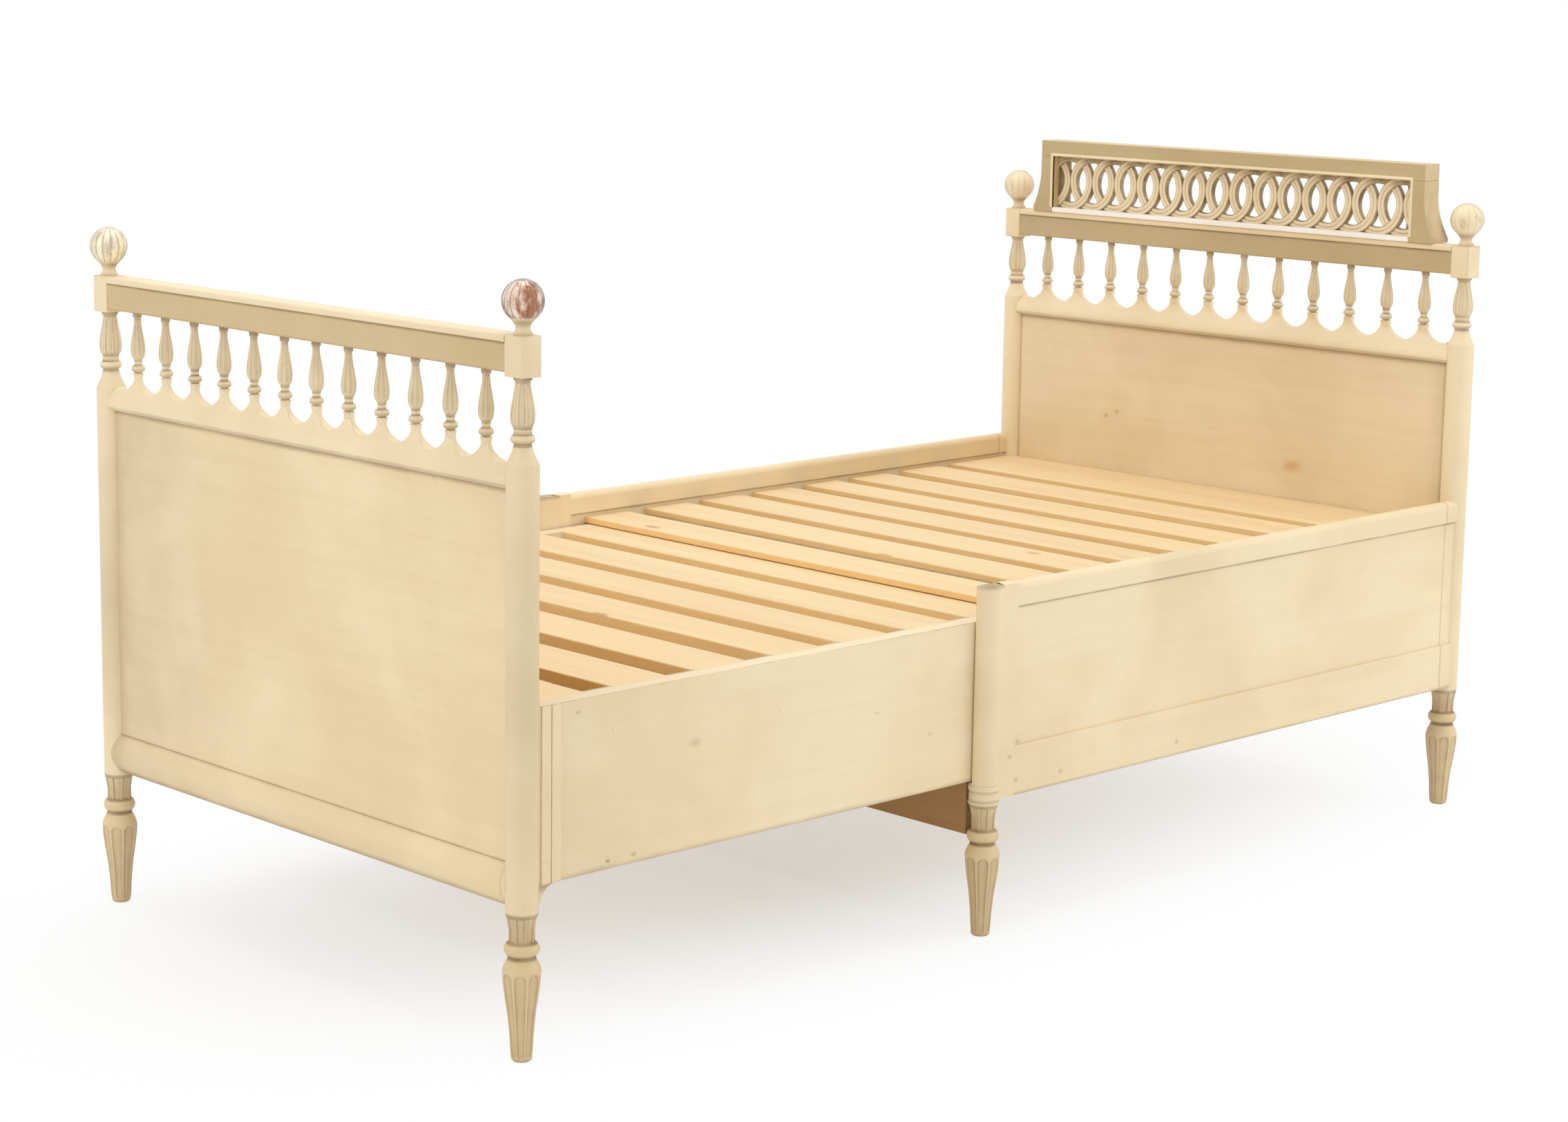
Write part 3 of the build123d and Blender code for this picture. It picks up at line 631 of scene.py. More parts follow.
LEG_RUNS = [
    [(0.0, 10.6), (1.6, 12.4)],
    [(1.6, 12.4), (12, 14.0), (30, 15.0), (46, 16.5), (60, 18.1), (72, 20.0), (84, 21.8), (98, 23.5),
     (106, 24.0), (114, 23.4), (121, 21.0), (126, 18.4), (130, 16.5)],
    [(130, 16.5), (131, 16.2)],
    [(131, 16.2), (132.5, 18.6), (136, 21.0), (140, 21.7), (144, 20.8), (147, 18.4), (148, 16.2)],
    [(148, 16.2), (163, 16.2)],
    [(163, 16.2), (169, 16.9), (177, 18.5), (184, 20.0)],
]
SHAFT_RUN = [(184, 20.0), (726, 20.0)]
NECK_RUNS = [
    [(726, 20.0), (731, 17.3), (737, 14.5), (744, 12.1), (751, 10.3)],
    [(751, 10.3), (751.2, 11.2)],
    [(751.2, 11.2), (752.8, 13.4), (756.2, 14.7), (759.8, 13.4), (761.5, 11.0)],
    [(761.5, 11.0), (765, 10.7)],
    [(765, 10.7), (770.5, 11.5)],
    [(770.5, 11.5), (773.5, 13.6), (778.5, 14.9), (784.5, 15.2), (794, 14.3), (806, 12.0), (816, 10.0),
     (823, 9.1)],
    [(823, 9.1), (824, 9.1)],
    [(824, 9.1), (826, 11.0), (829.2, 11.5)],
]
# Darker bands on a leg: dirt at the foot and painted shade in the creases round its rings and neck.
LEG_DIRT_AND_SHADE = ((0, 6, 0.5, 0.1), (127, 135, 1.0, 0.3), (146, 151, 0.8, 0.4), (151, 180, 0.35, 0.3))


def carved_leg(z, angle, radius, turning):
    """Cut and darkening, dirt and painted shade, of a leg's round flutes and its neck's square ones."""
    return max(
        round_flute(angle, z, 5.0, 111.0, turning.flutes, FLUTE_SHARE, radius, turning.flute_depth / MM),
        square_flute(angle, z, 149.0, 181.0, turning.flutes, 0.72, turning.neck_flute_depth / MM),
    )


def carved_vase(z, angle, radius, turning, depth):
    """Cut and darkening, dirt and painted shade, of a vase's round flutes."""
    return round_flute(angle, z, 772.5, 821.0, turning.flutes, FLUTE_SHARE, radius, depth)


def dirt_and_shade_at(z, dirt_and_shade_bands):
    """Dirt and painted shade at a height, from (low, high, amount at low, amount at high) stretches."""
    found = 0.0
    for low, high, at_low, at_high in dirt_and_shade_bands:
        if low <= z <= high:
            found = max(found, at_low + (at_high - at_low) * (z - low) / (high - low))
    return found


def eased_block(bm, centre, half, low, high, arris):
    """Square block of a post with worn arrises."""
    made = bmesh.ops.create_cube(bm, size=1.0)
    for vert in made["verts"]:
        side = vert.co * 2
        vert.co = Vector((
            centre[0] + side.x * half, centre[1] + side.y * half, low + (high - low) * (side.z + 1) / 2
        ))
    edges = {edge for vert in made["verts"] for edge in vert.link_edges}
    bmesh.ops.bevel(bm, geom=list(edges), offset=arris, segments=2, profile=0.5, affect="EDGES")


def eased_copy(node, arris, least=0.0):
    """A bmesh of a node with its sharp outer edges eased, save those under a least length."""
    bm = bmesh.new()
    bm.from_mesh(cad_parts[node].data)
    bmesh.ops.remove_doubles(bm, verts=bm.verts, dist=0.01 * MM)
    bmesh.ops.dissolve_limit(bm, angle_limit=FLAT_ANGLE, verts=bm.verts, edges=bm.edges, delimit=set())
    sharp = [
        edge for edge in bm.edges
        if len(edge.link_faces) == 2 and edge.is_convex and edge.calc_face_angle(0) > SHARP_ANGLE
        and edge.calc_length() > least
    ]
    bmesh.ops.bevel(
        bm, geom=sharp, offset=arris, segments=2, profile=0.5, affect="EDGES", clamp_overlap=True
    )
    return bm


def dressed(node, body, material, chooser=None, other=None, arris=None, least=0.0):
    """A node's own shape with worn arrises, painted in one or two paints."""
    turning = bpy.context.scene.bed_turning
    bm = eased_copy(node, turning.arris if arris is None else arris, least)
    if chooser:
        bm.normal_update()
        for face in bm.faces:
            face.material_index = 1 if chooser(face) else 0
    materials = [material, other] if chooser else [material]
    return finish_piece(f"worn_{node}", bm, body, materials, [node], weighted=True)


def repaint(node, material):
    """Puts a finish on a node that keeps its own shape."""
    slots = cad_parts[node].material_slots
    if not slots:
        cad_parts[node].data.materials.append(bpy.data.materials[material])
    for slot in slots:
        slot.material = bpy.data.materials[material]


# ---- operators


class BED_OT_finishes(Operator):
    """Mix the paints, the pine and the gilding"""

    bl_idname = "bed.finishes"
    bl_label = "Finishes"

    def execute(self, context):
        finish = context.scene.bed_finish
        for build in GROUPS:
            build()
        cream, umber, resin = finish.cream[:], finish.umber[:], finish.resin[:]
        head_knots = (
            ((0.928, -0.151, 0.501), (1, 0.6, 1.0), 0.021, 0.6, resin),
            ((0.928, 0.238, 0.539), (1, 0.8, 1.0), 0.009, 0.7, resin),
            ((0.928, 0.215, 0.548), (1, 0.8, 1.0), 0.007, 0.6, resin),
        )
        rail_marks = [
            ((x, -0.446, z), (0.6, 0, 1.0), radius, strength, umber) for x, z, radius, strength in (
                (-0.237, 0.294, 0.006, 0.25), (-0.340, 0.339, 0.005, 0.2), (-0.807, 0.226, 0.005, 0.7),
                (-0.765, 0.227, 0.006, 0.45), (-0.856, 0.419, 0.006, 0.35), (-0.662, 0.351, 0.011, 0.25),
            )
        ]
        pegs = [
            ((x, -0.469, z), (0.7, 0, 1), 0.007, 0.35, umber) for x, z in (
                (-0.085, 0.264), (-0.089, 0.212), (-0.103, 0.246), (0.003, 0.209), (0.254, 0.210),
            )
        ]
        # Painted shade lines on the end boards: under the scallop rail's lip and along the top of the bottom
        # rail.
        board_shade_lines = [("z", 0.6945, 0.0075, 0.55), ("z", 0.2435, 0.004, 0.3)]
        paint_material("cream_turned", cream, "z", grain=0.06, darker_below=0.19)
        # Painted shade: the foot posts are darker over their middle heights.
        yellowing = [("z", 0.44, 0.35, 0.2)]
        paint_material("foot_turned", cream, "z", seams=yellowing, grain=0.08, darker_below=0.19)
        # A painted shadow along the scallop rail's lower edge.
        paint_material("cream_across", cream, "y", seams=[("z", 0.699, 0.005, 0.4)], grain=0.08)
        # Footboard: painted shade lines under the scallop rail, along the bottom rail and beside both posts,
        # painted shade growing towards the far end, and dirt and painted shade along its lower edge.
        paint_material(
            "foot_board", finish.foot_cream[:], "y", grain=0.10,
            seams=[*board_shade_lines, ("y", 0.417, 0.030, 0.16), ("y", 0.47, 0.33, 0.26),
                   ("y", -0.417, 0.005, 0.2), ("z", 0.19, 0.012, 0.5)],
        )
        # Headboard: painted shade lines under the scallop rail, along the bottom rail and beside both posts,
        # with a wider painted shadow beside the near post.
        paint_material(
            "head_board", finish.head_shaded_cream[:], "y", head_knots, grain=0.12,
            seams=[*board_shade_lines, ("y", 0.434, 0.006, 0.45), ("y", -0.434, 0.007, 0.45),
                   ("y", -0.43, 0.035, 0.16)],
        )
        # Pull-out rails: dirt and painted shade along the lower edge, and painted shade towards the foot
        # end.
        rail_dirt_and_shade = [("z", 0.213, 0.012, 0.5), ("x", -0.93, 0.2, 0.1)]
        paint_material("cream_rail", cream, "x", rail_marks, rail_dirt_and_shade, grain=0.08)
        # Fixed sides: a painted shadow under the top rail, a dark line at x 0.897, and dirt along the bottom
        # edge.
        paint_material(
            "cream_side", cream, "x", pegs, grain=0.08, worn=0,
            seams=[("z", 0.4515, 0.003, 0.62), ("x", 0.897, 0.0035, 0.3), ("z", 0.191, 0.006, 0.4)],
        )
        paint_material("cream_stile", cream, "z", pegs, grain=0.06, worn=0)
        paint_material("cream_upright", cream, "z", grain=0.06)
        paint_material("cream_carved", cream, "y", grain=0.05)
        paint_material("ledge_across", finish.ledge[:], "y", grain=0.04)
        # Top rails: a painted shadow under the cap and a darker line along the lower edge.
        top_rail_shade_lines = [("z", 0.869, 0.0045, 0.85), ("z", 0.834, 0.003, 0.4)]
        paint_material("ochre_across", finish.ochre[:], "y", seams=top_rail_shade_lines, grain=0.14)
        # A dark patch at the rear foot of the crest's near stile.
        stile_dark_patch = [((0.96, -0.405, 0.90), (0.7, 0.8, 0.42), 0.022, 0.95, finish.dark_patch[:])]
        paint_material("pale_ochre_across", finish.pale_ochre[:], "y", stile_dark_patch, top_rail_shade_lines, grain=0.14)
        pine_material("slat_pine", "y", finish.pine[:], finish.shaded_pine_edge[:], 0.24, finish.inner_pine_edge[:])
        pine_material("old_board", "y", finish.board[:], finish.board[:], 0.8)
        # The last number darkens each ball towards its outline as painted shade.
        ball_material("near_foot_ball", finish.leaf[:], finish.bole[:], 0.50, 0.3, 0.95)
        ball_material("far_foot_ball", tint(250, 236, 204), tint(204, 184, 166), 0.60, 0.25, 0.5)
        ball_material("head_ball", tint(240, 222, 188), tint(214, 190, 152), 0.62, 0.0, 0.3)
        return {"FINISHED"}


class BED_OT_corner_posts(Operator):
    """Turn the four corner posts, with fluted legs and vases and square blocks"""

    bl_idname = "bed.corner_posts"
    bl_label = "Corner posts"

    def execute(self, context):
        turning = context.scene.bed_turning
        rows = turned_rows([*LEG_RUNS, SHAFT_RUN, *NECK_RUNS], 2.0)
        # Darker bands on a corner post: painted shade and dirt in the creases round the ring, the vase and
        # under the block.
        dirt_and_shade_bands = (
            *LEG_DIRT_AND_SHADE, (180, 184.5, 0.9, 0.6), (747, 756, 0.8, 0.3), (760, 763, 0.4, 0.7),
            (767, 774, 0.9, 0.25), (821, 830, 0.4, 1.0),
        )
        depth = turning.vase_flute_depth / MM
        block_half, block_low, block_arris = 15.5 * MM, 829 * MM, 1.3 * MM

        def carving(z, angle, radius):
            leg = carved_leg(z, angle, radius, turning)
            cut, dirt = max(leg, carved_vase(z, angle, radius, turning, depth))
            return cut, max(dirt, dirt_and_shade_at(z, dirt_and_shade_bands))

        for end, body in (("head", HEAD), ("foot", FOOT)):
            for side in SIDES:
                node = f"{end}_post_{side}"
                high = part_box(node)[1]
                centre = middle(f"{end}_finial_{side}")
                bm = bmesh.new()
                lathe(bm, rows, centre, LATHE_SEGMENTS, carving)
                eased_block(bm, centre, block_half, block_low, high[2], block_arris)
                paint = "foot_turned" if body == FOOT else "cream_turned"
                finish_piece(f"turned_{node}", bm, body, [paint], [node])
        return {"FINISHED"}


class BED_OT_mid_posts(Operator):
    """Turn the two middle posts, cut flat where the pull-out rails pass"""

    bl_idname = "bed.mid_posts"
    bl_label = "Middle posts"

    def execute(self, context):
        turning = context.scene.bed_turning
        ledge = 213.0
        flat = 4.5
        post_y = 0.453
        # Darker bands on a middle post: painted shade in the creases round its collars, and dirt near its
        # top.
        dirt_and_shade_bands = (
            *LEG_DIRT_AND_SHADE, (180, 184.5, 0.9, 0.5), (188, 191, 0.5, 0.2), (200, 203.5, 0.2, 0.5),
            (480, 486, 0.1, 0.8),
        )

        def carving(z, angle, radius):
            cut, dirt = carved_leg(z, angle, radius, turning)
            return cut, max(dirt, dirt_and_shade_at(z, dirt_and_shade_bands))

        for side, sign in SIDES.items():
            node = f"mid_post_{side}"
            low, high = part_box(node)
            centre = ((low[0] + high[0]) / 2, sign * post_y)
            top = high[2] / MM
            upper = [
                [(184, 20.0), (185, 21.2), (187, 21.4), (189, 20.2)],
                [(189, 20.2), (202.5, 20.0)],
                [(202.5, 20.0), (204, 21.2), (206.5, 21.5), (209, 21.2), (210.5, 20.0)],
                [(210.5, 20.0), (ledge, 20.0)],
                [(ledge, 20.0), (ledge + 0.05, 20.0)],
                [(ledge + 0.05, 20.0), (top - 2.4, 20.0)],
                [(top - 2.4, 20.0), (top - 0.7, 19.3)],
                [(top - 0.7, 19.3), (top, 17.6)],
            ]
            rows = turned_rows([*LEG_RUNS, *upper], 2.0)

            def trim(x, y, z, sign=sign):
                if z > ledge + 0.01 and y * sign < -flat:
                    return x, -flat * sign
                return x, y

            bm = bmesh.new()
            lathe(bm, rows, centre, LATHE_SEGMENTS, carving, trim)
            bmesh.ops.remove_doubles(bm, verts=bm.verts, dist=0.005 * MM)
            finish_piece(f"turned_{node}", bm, HEAD, ["cream_turned"], [node])
        return {"FINISHED"}


class BED_OT_balusters(Operator):
    """Turn the rows of small balusters"""

    bl_idname = "bed.balusters"
    bl_label = "Balusters"

    count: IntProperty(name="Count", description="Balusters in each row", default=12, min=1)

    def execute(self, context):
        turning = context.scene.bed_turning
        widest = 20 * MM
        runs = [
            [(743, 4.0), (751, 4.0)],
            [(751, 5.45), (752.5, 5.25)],
            [(752.5, 5.25), (754, 8.0), (757.2, 9.2), (760.5, 8.0), (762, 5.25)],
            [(762, 5.25), (766.2, 5.1)],
            [(766.2, 5.1), (770.5, 6.1)],
            [(770.5, 6.1), (773.5, 8.4), (778.5, 9.7), (784.5, 10.0), (794, 9.1), (806, 6.9), (816, 5.2),
             (825, 4.5)],
            [(825, 4.5), (827, 5.8)],
            [(827, 5.8), (828, 6.0), (834, 6.0)],
            [(834, 4.0), (842, 4.0)],
        ]
        rows = turned_rows(runs, 1.5)
        # Darker bands on a baluster: painted shade and dirt in the creases round its ring and vase, darkest
        # at the collar under the rail.
        dirt_and_shade_bands = (
            (748, 757.5, 1.0, 0.35), (760, 763, 0.3, 0.6), (767, 773, 0.9, 0.25), (821, 835, 0.4, 1.0),
        )

        def carving(z, angle, radius):
            cut, dirt = carved_vase(z, angle, radius, turning, 0.7)
            return cut, max(dirt, dirt_and_shade_at(z, dirt_and_shade_bands))

        for end, body in ENDS.items():
            node = f"{end}_balusters"
            low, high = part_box(node)
            x = (low[0] + high[0]) / 2
            pitch = (high[1] - low[1] - widest) / (self.count - 1)
            bm = bmesh.new()
            for index in range(self.count):
                y = (low[1] + high[1]) / 2 + (index - (self.count - 1) / 2) * pitch
                lathe(bm, rows, (x, y), 64, carving)
            finish_piece(f"turned_{node}", bm, body, ["cream_turned"], [node])
        return {"FINISHED"}


class BED_OT_finials(Operator):
    """Turn and carve the lobed ball finials on their cream cups"""

    bl_idname = "bed.finials"
    bl_label = "Ball finials"

    def execute(self, context):
        turning = context.scene.bed_turning
        base = 878.0
        cup_runs = [
            [(base, 11.5), (base + 2.6, 11.5)],
            [(base + 2.6, 11.5), (base + 4.2, 10.2), (base + 7.5, 8.8), (base + 11.0, 9.0),
             (base + 15.5, 11.8), (base + 19.2, 15.6)],
            [(base + 19.2, 15.6), (base + 20.4, 15.9)],
        ]
        # Darker bands on the cup: painted shade under its flaring rim and where it meets the block.
        cup_dirt_and_shade = ((0, 3, 0.4, 0.1), (8, 15, 0.1, 0.7), (15, 20, 0.7, 0.2))
        rise = 40.0
        radius = 25.5
        ball = []
        steps = 56
        lowest, highest = math.radians(-66), math.radians(89.2)
        for k in range(steps + 1):
            angle = lowest + (highest - lowest) * k / steps
            ball.append((base + rise + radius * math.sin(angle), radius * math.cos(angle), 0.0))

        for end, body, depth in (
            ("head", HEAD, turning.head_lobe_depth / MM), ("foot", FOOT, turning.ball_lobe_depth / MM),
        ):
            def lobes(z, angle, r, depth=depth):
                pitch = 2 * math.pi / turning.ball_lobes
                off = abs((angle + pitch / 2) % pitch - pitch / 2) / (pitch / 2)
                share = min(1.0, r / (0.55 * radius))
                groove = max(0.0, (off - 0.35) / 0.65) ** 2.2
                # The grooves between the lobes darken with dirt and painted shade.
                return depth * groove * share, min(1.0, depth) * groove**1.5 * share * 0.8

            for side in SIDES:
                node = f"{end}_finial_{side}"
                centre = middle(node)
                bm = bmesh.new()
                cup = [(z, r, dirt_and_shade_at(z - base, cup_dirt_and_shade)) for z, r, _ in turned_rows(cup_runs, 1.0)]
                lathe(bm, cup, centre, 64)
                cup_faces = len(bm.faces)
                lathe(bm, ball, centre, 10 * turning.ball_lobes, lobes)
                bm.faces.ensure_lookup_table()
                for face in bm.faces[cup_faces:]:
                    face.material_index = 1
                finish = f"{side}_foot_ball" if end == "foot" else "head_ball"
                finish_piece(f"carved_{node}", bm, body, ["cream_turned", finish], [node])
        return {"FINISHED"}


class BED_OT_fretwork(Operator):
    """Carve the crest's chain of interlaced rings"""

    bl_idname = "bed.fretwork"
    bl_label = "Crest fretwork"

    rings: IntProperty(name="Rings", description="Whole rings in the chain", default=15, min=1)
    inner: FloatProperty(name="Inner", description="Radius inside a ring", default=34 * MM, unit="LENGTH")
    outer: FloatProperty(name="Outer", description="Radius outside a ring", default=49 * MM, unit="LENGTH")

    def execute(self, context):
        turning = context.scene.bed_turning
        low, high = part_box("crest_fretwork")
        pitch = (high[1] - low[1] - 2 * TONGUE) / self.rings
        z_mid = (low[2] + high[2]) / 2
        front = low[0]
        deep = high[0] - low[0]
        width = self.outer - self.inner
        groove = turning.band_groove
        section = [
            (0.97, deep), (0.03, deep), (0.0, deep), (0.0, 2.2 * MM), (0.06, 0.9 * MM), (0.16, 0.15 * MM),
            (0.27, 0.0), (0.38, 0.4 * MM), (0.46, groove * 0.8), (0.5, groove), (0.54, groove * 0.8),
            (0.62, 0.4 * MM), (0.73, 0.0), (0.84, 0.15 * MM), (0.94, 0.9 * MM), (1.0, 2.2 * MM), (1.0, deep),
        ]
        steps = 112
        bm = bmesh.new()
        hollow = bm.verts.layers.float.new("hollow")
        for index in range(-1, self.rings + 1):
            centre = (index - (self.rings - 1) / 2) * pitch
            bottom = deep - (index % 3) * 0.08 * MM
            loops = []
            for k in range(steps):
                angle = 2 * math.pi * k / steps
                lift = turning.weave * (1 - math.sin(2 * angle))
                loop = []
                for place, back in section:
                    radius = self.inner + width * place
                    sink = min(deep - 0.5 * MM, back + lift) if back < deep else bottom
                    vert = bm.verts.new((
                        front + sink, centre + radius * math.cos(angle), z_mid + radius * math.sin(angle)
                    ))
                    # Painted shadow of the crest's top rail across the tops of the rings.
                    shade = 0.95 * max(0.0, math.sin(angle) - 0.76) / 0.24
                    off = abs(place - 0.5)
                    # Each band darkens in its groove with dirt and painted shade, and down its sides with
                    # painted shade.
                    if back < deep or place in (0.0, 1.0):
                        vert[hollow] = max(shade, 0.55 - off / 0.14, 1.0 * (off > 0.43))
                    loop.append(vert)
                loops.append(loop)
            skin(bm, [*loops, loops[0]])
        for point, normal in (
            ((0, 0, low[2]), (0, 0, -1)), ((0, 0, high[2]), (0, 0, 1)),
            ((0, low[1], 0), (0, -1, 0)), ((0, high[1], 0), (0, 1, 0)),
        ):
            cut = bmesh.ops.bisect_plane(
                bm, geom=[*bm.verts, *bm.edges, *bm.faces], plane_co=point, plane_no=normal, clear_outer=True
            )
            rim = [item for item in cut["geom_cut"] if isinstance(item, bmesh.types.BMEdge)]
            bmesh.ops.holes_fill(bm, edges=rim, sides=0)
        plate = 3 * MM
        for side in (-1, 1):
            end = high[1] if side > 0 else low[1]
            made = bmesh.ops.create_cube(bm, size=1.0)
            for vert in made["verts"]:
                # The front of each end plate is dark: a painted shadow in the half-eyes at the ends of the
                # chain.
                vert[hollow] = 1.0 if vert.co.x < 0 else 0.0
                vert.co = Vector((
                    front + deep - plate + (vert.co.x + 0.5) * (plate - 0.3 * MM),
                    end - side * (vert.co.y + 0.5) * (pitch * 0.5),
                    z_mid + vert.co.z * (high[2] - low[2] - 1 * MM),
                ))
        finish_piece(
            "carved_fretwork", bm, HEAD, ["cream_carved"], ["crest_fretwork"], angle=38
        )
        return {"FINISHED"}


class BED_OT_crest(Operator):
    """Ease and paint the crest's frame, and run a cream bead round its opening"""

    bl_idname = "bed.crest"
    bl_label = "Crest frame"

    def execute(self, context):
        turning = context.scene.bed_turning
        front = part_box("crest_top_rail")[0][0]

        def not_front(face):
            return face.normal.x > -0.8

        for node in ("crest_top_rail", "crest_stile_far", "crest_stile_near"):
            dressed(node, HEAD, "ochre_across", not_front, "pale_ochre_across")
        dressed("crest_base_rail", HEAD, "ledge_across")
        low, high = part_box("crest_fretwork")
        half = high[1] - TONGUE
        z_low = low[2] + TONGUE
        z_high = high[2] - TONGUE
        width = turning.bead
        path = [(half, z_low), (half, z_high), (-half, z_high), (-half, z_low)]
        outward = [(1, 0), (1, 1), (-1, 1), (-1, 0)]
        arc = [(math.cos(math.pi * k / 8), math.sin(math.pi * k / 8)) for k in range(9)]
        bm = bmesh.new()
        hollow = bm.verts.layers.float.new("hollow")
        loops = []
        for (y, z), (out_y, out_z) in zip(path, outward):
            loop = []
            for across, up in arc:
                offset = width * (1 - across) / 2
                vert = bm.verts.new((
                    front - up * 1.6 * MM + 0.3 * MM, y + out_y * offset, z + out_z * offset
                ))
                # The bead darkens along its edges: painted shade and dirt in the creases.
                vert[hollow] = 0.9 if up < 0.3 else 0.0
                loop.append(vert)
            for offset in (width, 0.0):
                loop.append(bm.verts.new((front + 4 * MM, y + out_y * offset, z + out_z * offset)))
            loops.append(loop)
        skin(bm, loops)
        bm.faces.new(loops[0])
        bm.faces.new(reversed(loops[-1]))
        finish_piece("crest_bead", bm, HEAD, ["cream_carved"])
        return {"FINISHED"}


class BED_OT_end_boards(Operator):
    """Ease and paint the rails and boards of the headboard and footboard"""

    bl_idname = "bed.end_boards"
    bl_label = "Head and foot boards"

    def execute(self, context):
        for end, body in ENDS.items():
            dressed(f"{end}_cap", body, "cream_across", arris=0.5 * MM)
            ochre = "ochre_across" if body == HEAD else "pale_ochre_across"
            dressed(f"{end}_top_rail", body, ochre)
            dressed(f"{end}_scallop_rail", body, "cream_across")
            board = "head_board" if body == HEAD else "foot_board"
            dressed(f"{end}_board", body, board)
            dressed(f"{end}_bottom_rail", body, board)
        return {"FINISHED"}


class BED_OT_sides(Operator):
    """Ease and paint the fixed sides and the pull-out rails"""

    bl_idname = "bed.sides"
    bl_label = "Sides"

    def execute(self, context):
        turning = context.scene.bed_turning
        for side in SIDES:
            repaint(f"side_bottom_rail_{side}", "cream_side")
            repaint(f"side_panel_{side}", "cream_side")
            repaint(f"side_stile_{side}", "cream_stile")
            dressed(f"side_top_rail_{side}", HEAD, "cream_side", arris=0.5 * MM)
            rail = f"pull_out_rail_{side}"
            dressed(rail, FOOT, "cream_rail", arris=turning.rail_arris, least=0.3)
        dressed("rail_end_strips", FOOT, "cream_upright", arris=0.2 * MM)
        return {"FINISHED"}


class BED_OT_slats(Operator):
    """Give the slats, the cross-board and the dowels their bare wood"""

    bl_idname = "bed.slats"
    bl_label = "Slats and cross-board"

    def execute(self, context):
        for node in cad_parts:
            if "_slat_" in node:
                repaint(node, "slat_pine")
            elif node in ("cross_board", "crest_dowels"):
                repaint(node, "old_board")
        return {"FINISHED"}


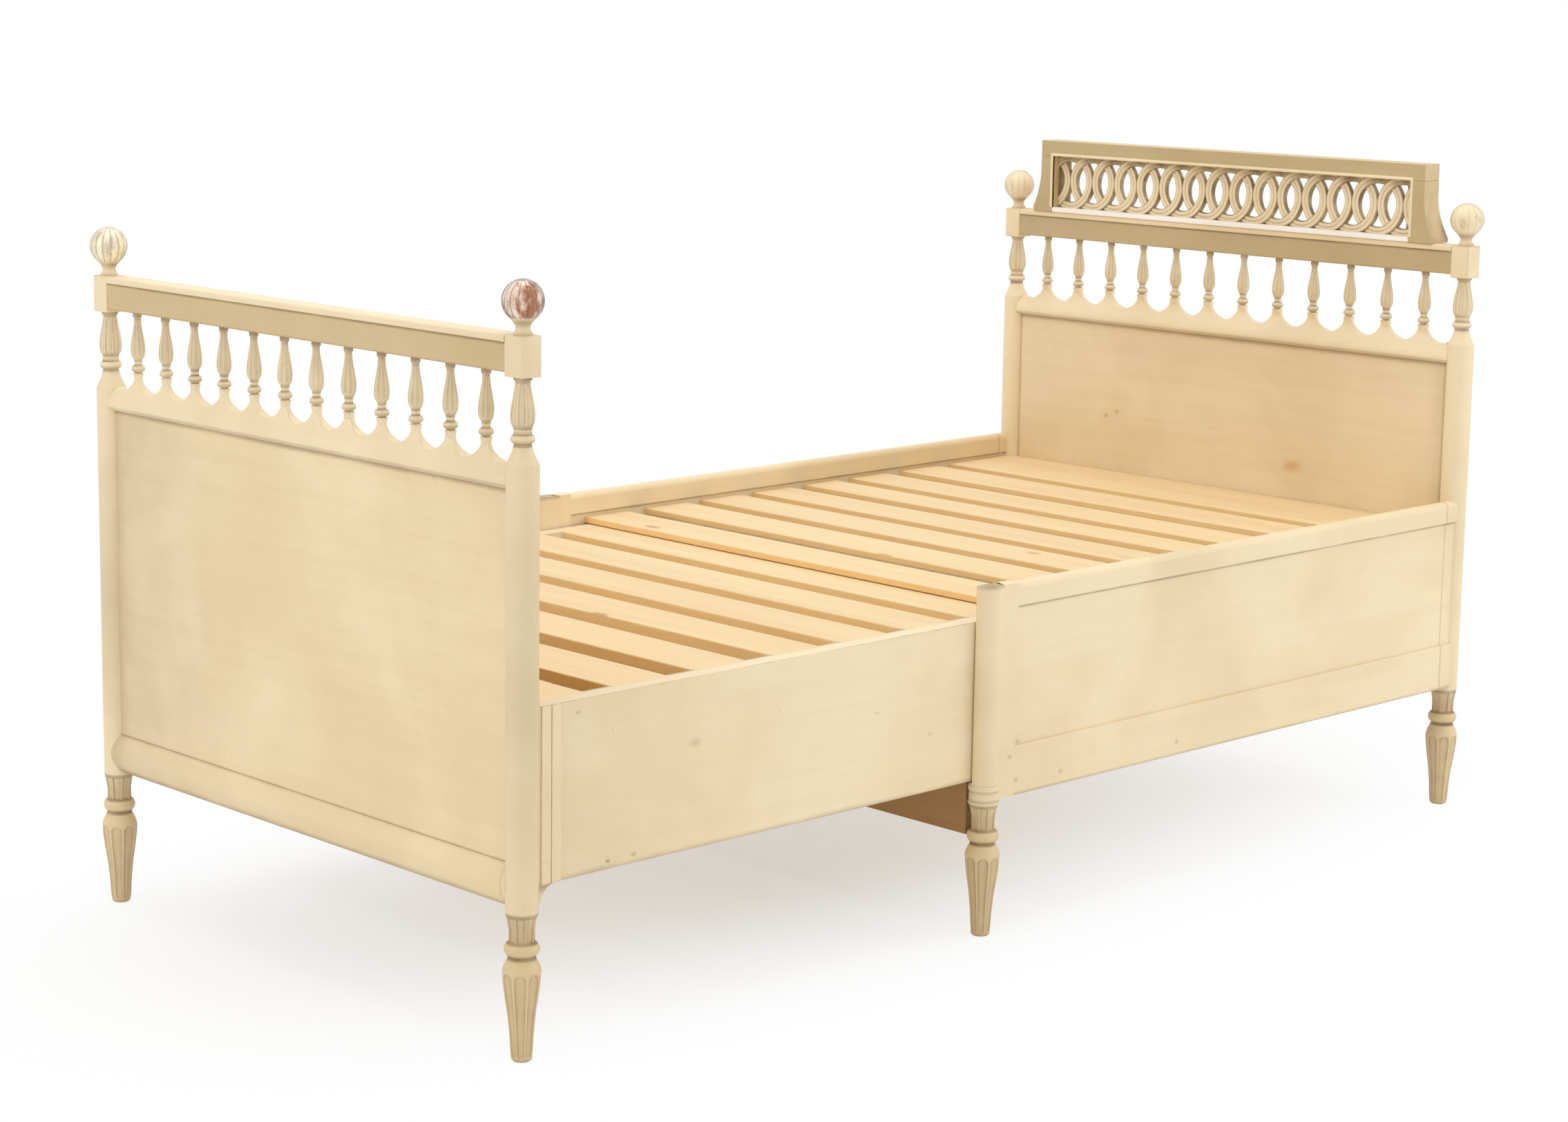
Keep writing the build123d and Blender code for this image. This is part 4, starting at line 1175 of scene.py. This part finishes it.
class BED_OT_stage(Operator):
    """Lay the floor, hang the lamps and set up the camera"""

    bl_idname = "bed.stage"
    bl_label = "Stage"

    def execute(self, context):
        scene = context.scene
        stage = scene.bed_stage
        material, tree, shader, place = new_material("studio_floor")
        shader.inputs["Roughness"].default_value = 0.9
        shader.inputs["Specular IOR Level"].default_value = 0.0
        shader.inputs["Base Color"].default_value = (*stage.floor, 1)
        centre, squash = (-0.05, 0.06, 0.0), (0.434, 1.0, 0.0)
        away = vector_maths(tree, "SUBTRACT", place, centre)
        away = vector_maths(tree, "MULTIPLY", away, squash)
        far = spread(tree, measure(tree, "LENGTH", away), 0.127, 0.751, 1 - stage.shade, 1.0)
        seen = times(tree, tree.nodes.new("ShaderNodeLightPath").outputs["Is Camera Ray"], far)
        glow = add(tree, "ShaderNodeEmission", {"Color": (1, 1, 1), "Strength": 1.0})
        mixed = add(tree, "ShaderNodeMixShader", {0: seen, 1: shader.outputs[0], 2: glow.outputs[0]})
        tree.links.new(mixed.outputs[0], tree.nodes["Material Output"].inputs["Surface"])
        bm = bmesh.new()
        bmesh.ops.create_grid(bm, x_segments=8, y_segments=8, size=14.0)
        mesh = bpy.data.meshes.new("studio_floor")
        bm.to_mesh(mesh)
        bm.free()
        mesh.materials.append(material)
        floor = placed("studio_floor", mesh)
        floor.location.z = -0.4 * MM

        world = bpy.data.worlds.new("studio")
        scene.world = world
        world.use_nodes = True
        tree = world.node_tree
        tree.nodes.clear()
        path = tree.nodes.new("ShaderNodeLightPath").outputs
        plain = maths(tree, "MAXIMUM", path["Is Camera Ray"], path["Is Glossy Ray"])
        plain = maths(tree, "MAXIMUM", plain, path["Is Transmission Ray"])
        lit = add(tree, "ShaderNodeBackground", {"Color": (1.0, 0.99, 0.975), "Strength": stage.sky})
        white = add(tree, "ShaderNodeBackground", {"Color": (1, 1, 1), "Strength": 1.0})
        mixed = add(tree, "ShaderNodeMixShader", {0: plain, 1: lit.outputs[0], 2: white.outputs[0]})
        out = tree.nodes.new("ShaderNodeOutputWorld")
        tree.links.new(mixed.outputs[0], out.inputs["Surface"])

        for name, power, size, spot, aim in (
            ("key_lamp", stage.key, 2.4, (-4.4, 0.0, 2.3), (-0.9, 0.0, 0.5)),
            ("fill_lamp", stage.fill, 2.0, (3.0, -3.4, 2.0), (0.8, -0.45, 0.35)),
            ("top_lamp", stage.top, 3.5, (0.0, 0.3, 4.2), (0.0, 0.0, 0.4)),
        ):
            lamp = bpy.data.lights.new(name, "AREA")
            lamp.shape = "SQUARE"
            lamp.size = size
            lamp.energy = power
            lamp.color = (1.0, 0.985, 0.96)
            made = placed(name, lamp)
            made.location = spot
            made.rotation_mode = "QUATERNION"
            made.rotation_quaternion = (Vector(aim) - Vector(spot)).to_track_quat("-Z", "Y")

        lens = bpy.data.cameras.new("camera")
        lens.sensor_width = 36.0
        lens.lens = 74.85
        lens.shift_x = 0.1112
        lens.shift_y = -0.0369
        camera = placed("camera", lens)
        stand = (-3.3528, -3.3128, 1.3261)
        yaw, pitch, roll = 0.8448, 0.1701, 0.0065
        ahead = math.cos(pitch)
        forward = Vector((math.cos(yaw) * ahead, math.sin(yaw) * ahead, -math.sin(pitch)))
        right = Vector((math.sin(yaw), -math.cos(yaw), 0))
        up = right.cross(forward)
        level = right * math.cos(roll) + up * math.sin(roll)
        upright = up * math.cos(roll) - right * math.sin(roll)
        turn = Matrix((level, upright, -forward)).transposed().to_4x4()
        camera.matrix_world = Matrix.Translation(stand) @ turn
        scene.camera = camera
        scene.view_settings.view_transform = "Standard"
        return {"FINISHED"}


STEPS = (
    BED_OT_finishes,
    BED_OT_corner_posts,
    BED_OT_mid_posts,
    BED_OT_balusters,
    BED_OT_finials,
    BED_OT_fretwork,
    BED_OT_crest,
    BED_OT_end_boards,
    BED_OT_sides,
    BED_OT_slats,
    BED_OT_stage,
)


class BED_PT_workshop(Panel):
    """Sidebar panel with the steps of the bed's making"""

    bl_label = "Bench Bed"
    bl_space_type = "VIEW_3D"
    bl_region_type = "UI"
    bl_category = "Bench Bed"

    def draw(self, context):
        for group in ("bed_turning", "bed_finish", "bed_stage"):
            box = self.layout.box()
            settings = getattr(context.scene, group)
            for name in settings.__annotations__:
                box.prop(settings, name)
        for step in STEPS:
            self.layout.operator(step.bl_idname)


SETTINGS = {"bed_turning": BedTurning, "bed_finish": BedFinish, "bed_stage": BedStage}


def register():
    """Adds the settings, the operators and the panel."""
    for kind in (*SETTINGS.values(), *STEPS, BED_PT_workshop):
        bpy.utils.register_class(kind)
    for name, kind in SETTINGS.items():
        setattr(bpy.types.Scene, name, PointerProperty(type=kind))


def unregister():
    """Takes them away again."""
    for name in SETTINGS:
        delattr(bpy.types.Scene, name)
    for kind in (BED_PT_workshop, *reversed(STEPS), *reversed(SETTINGS.values())):
        bpy.utils.unregister_class(kind)


def main():
    """Makes the bed step by step."""
    register()
    for step in STEPS:
        area, name = step.bl_idname.split(".")
        getattr(getattr(bpy.ops, area), name)()


if __name__ == "__main__":
    main()
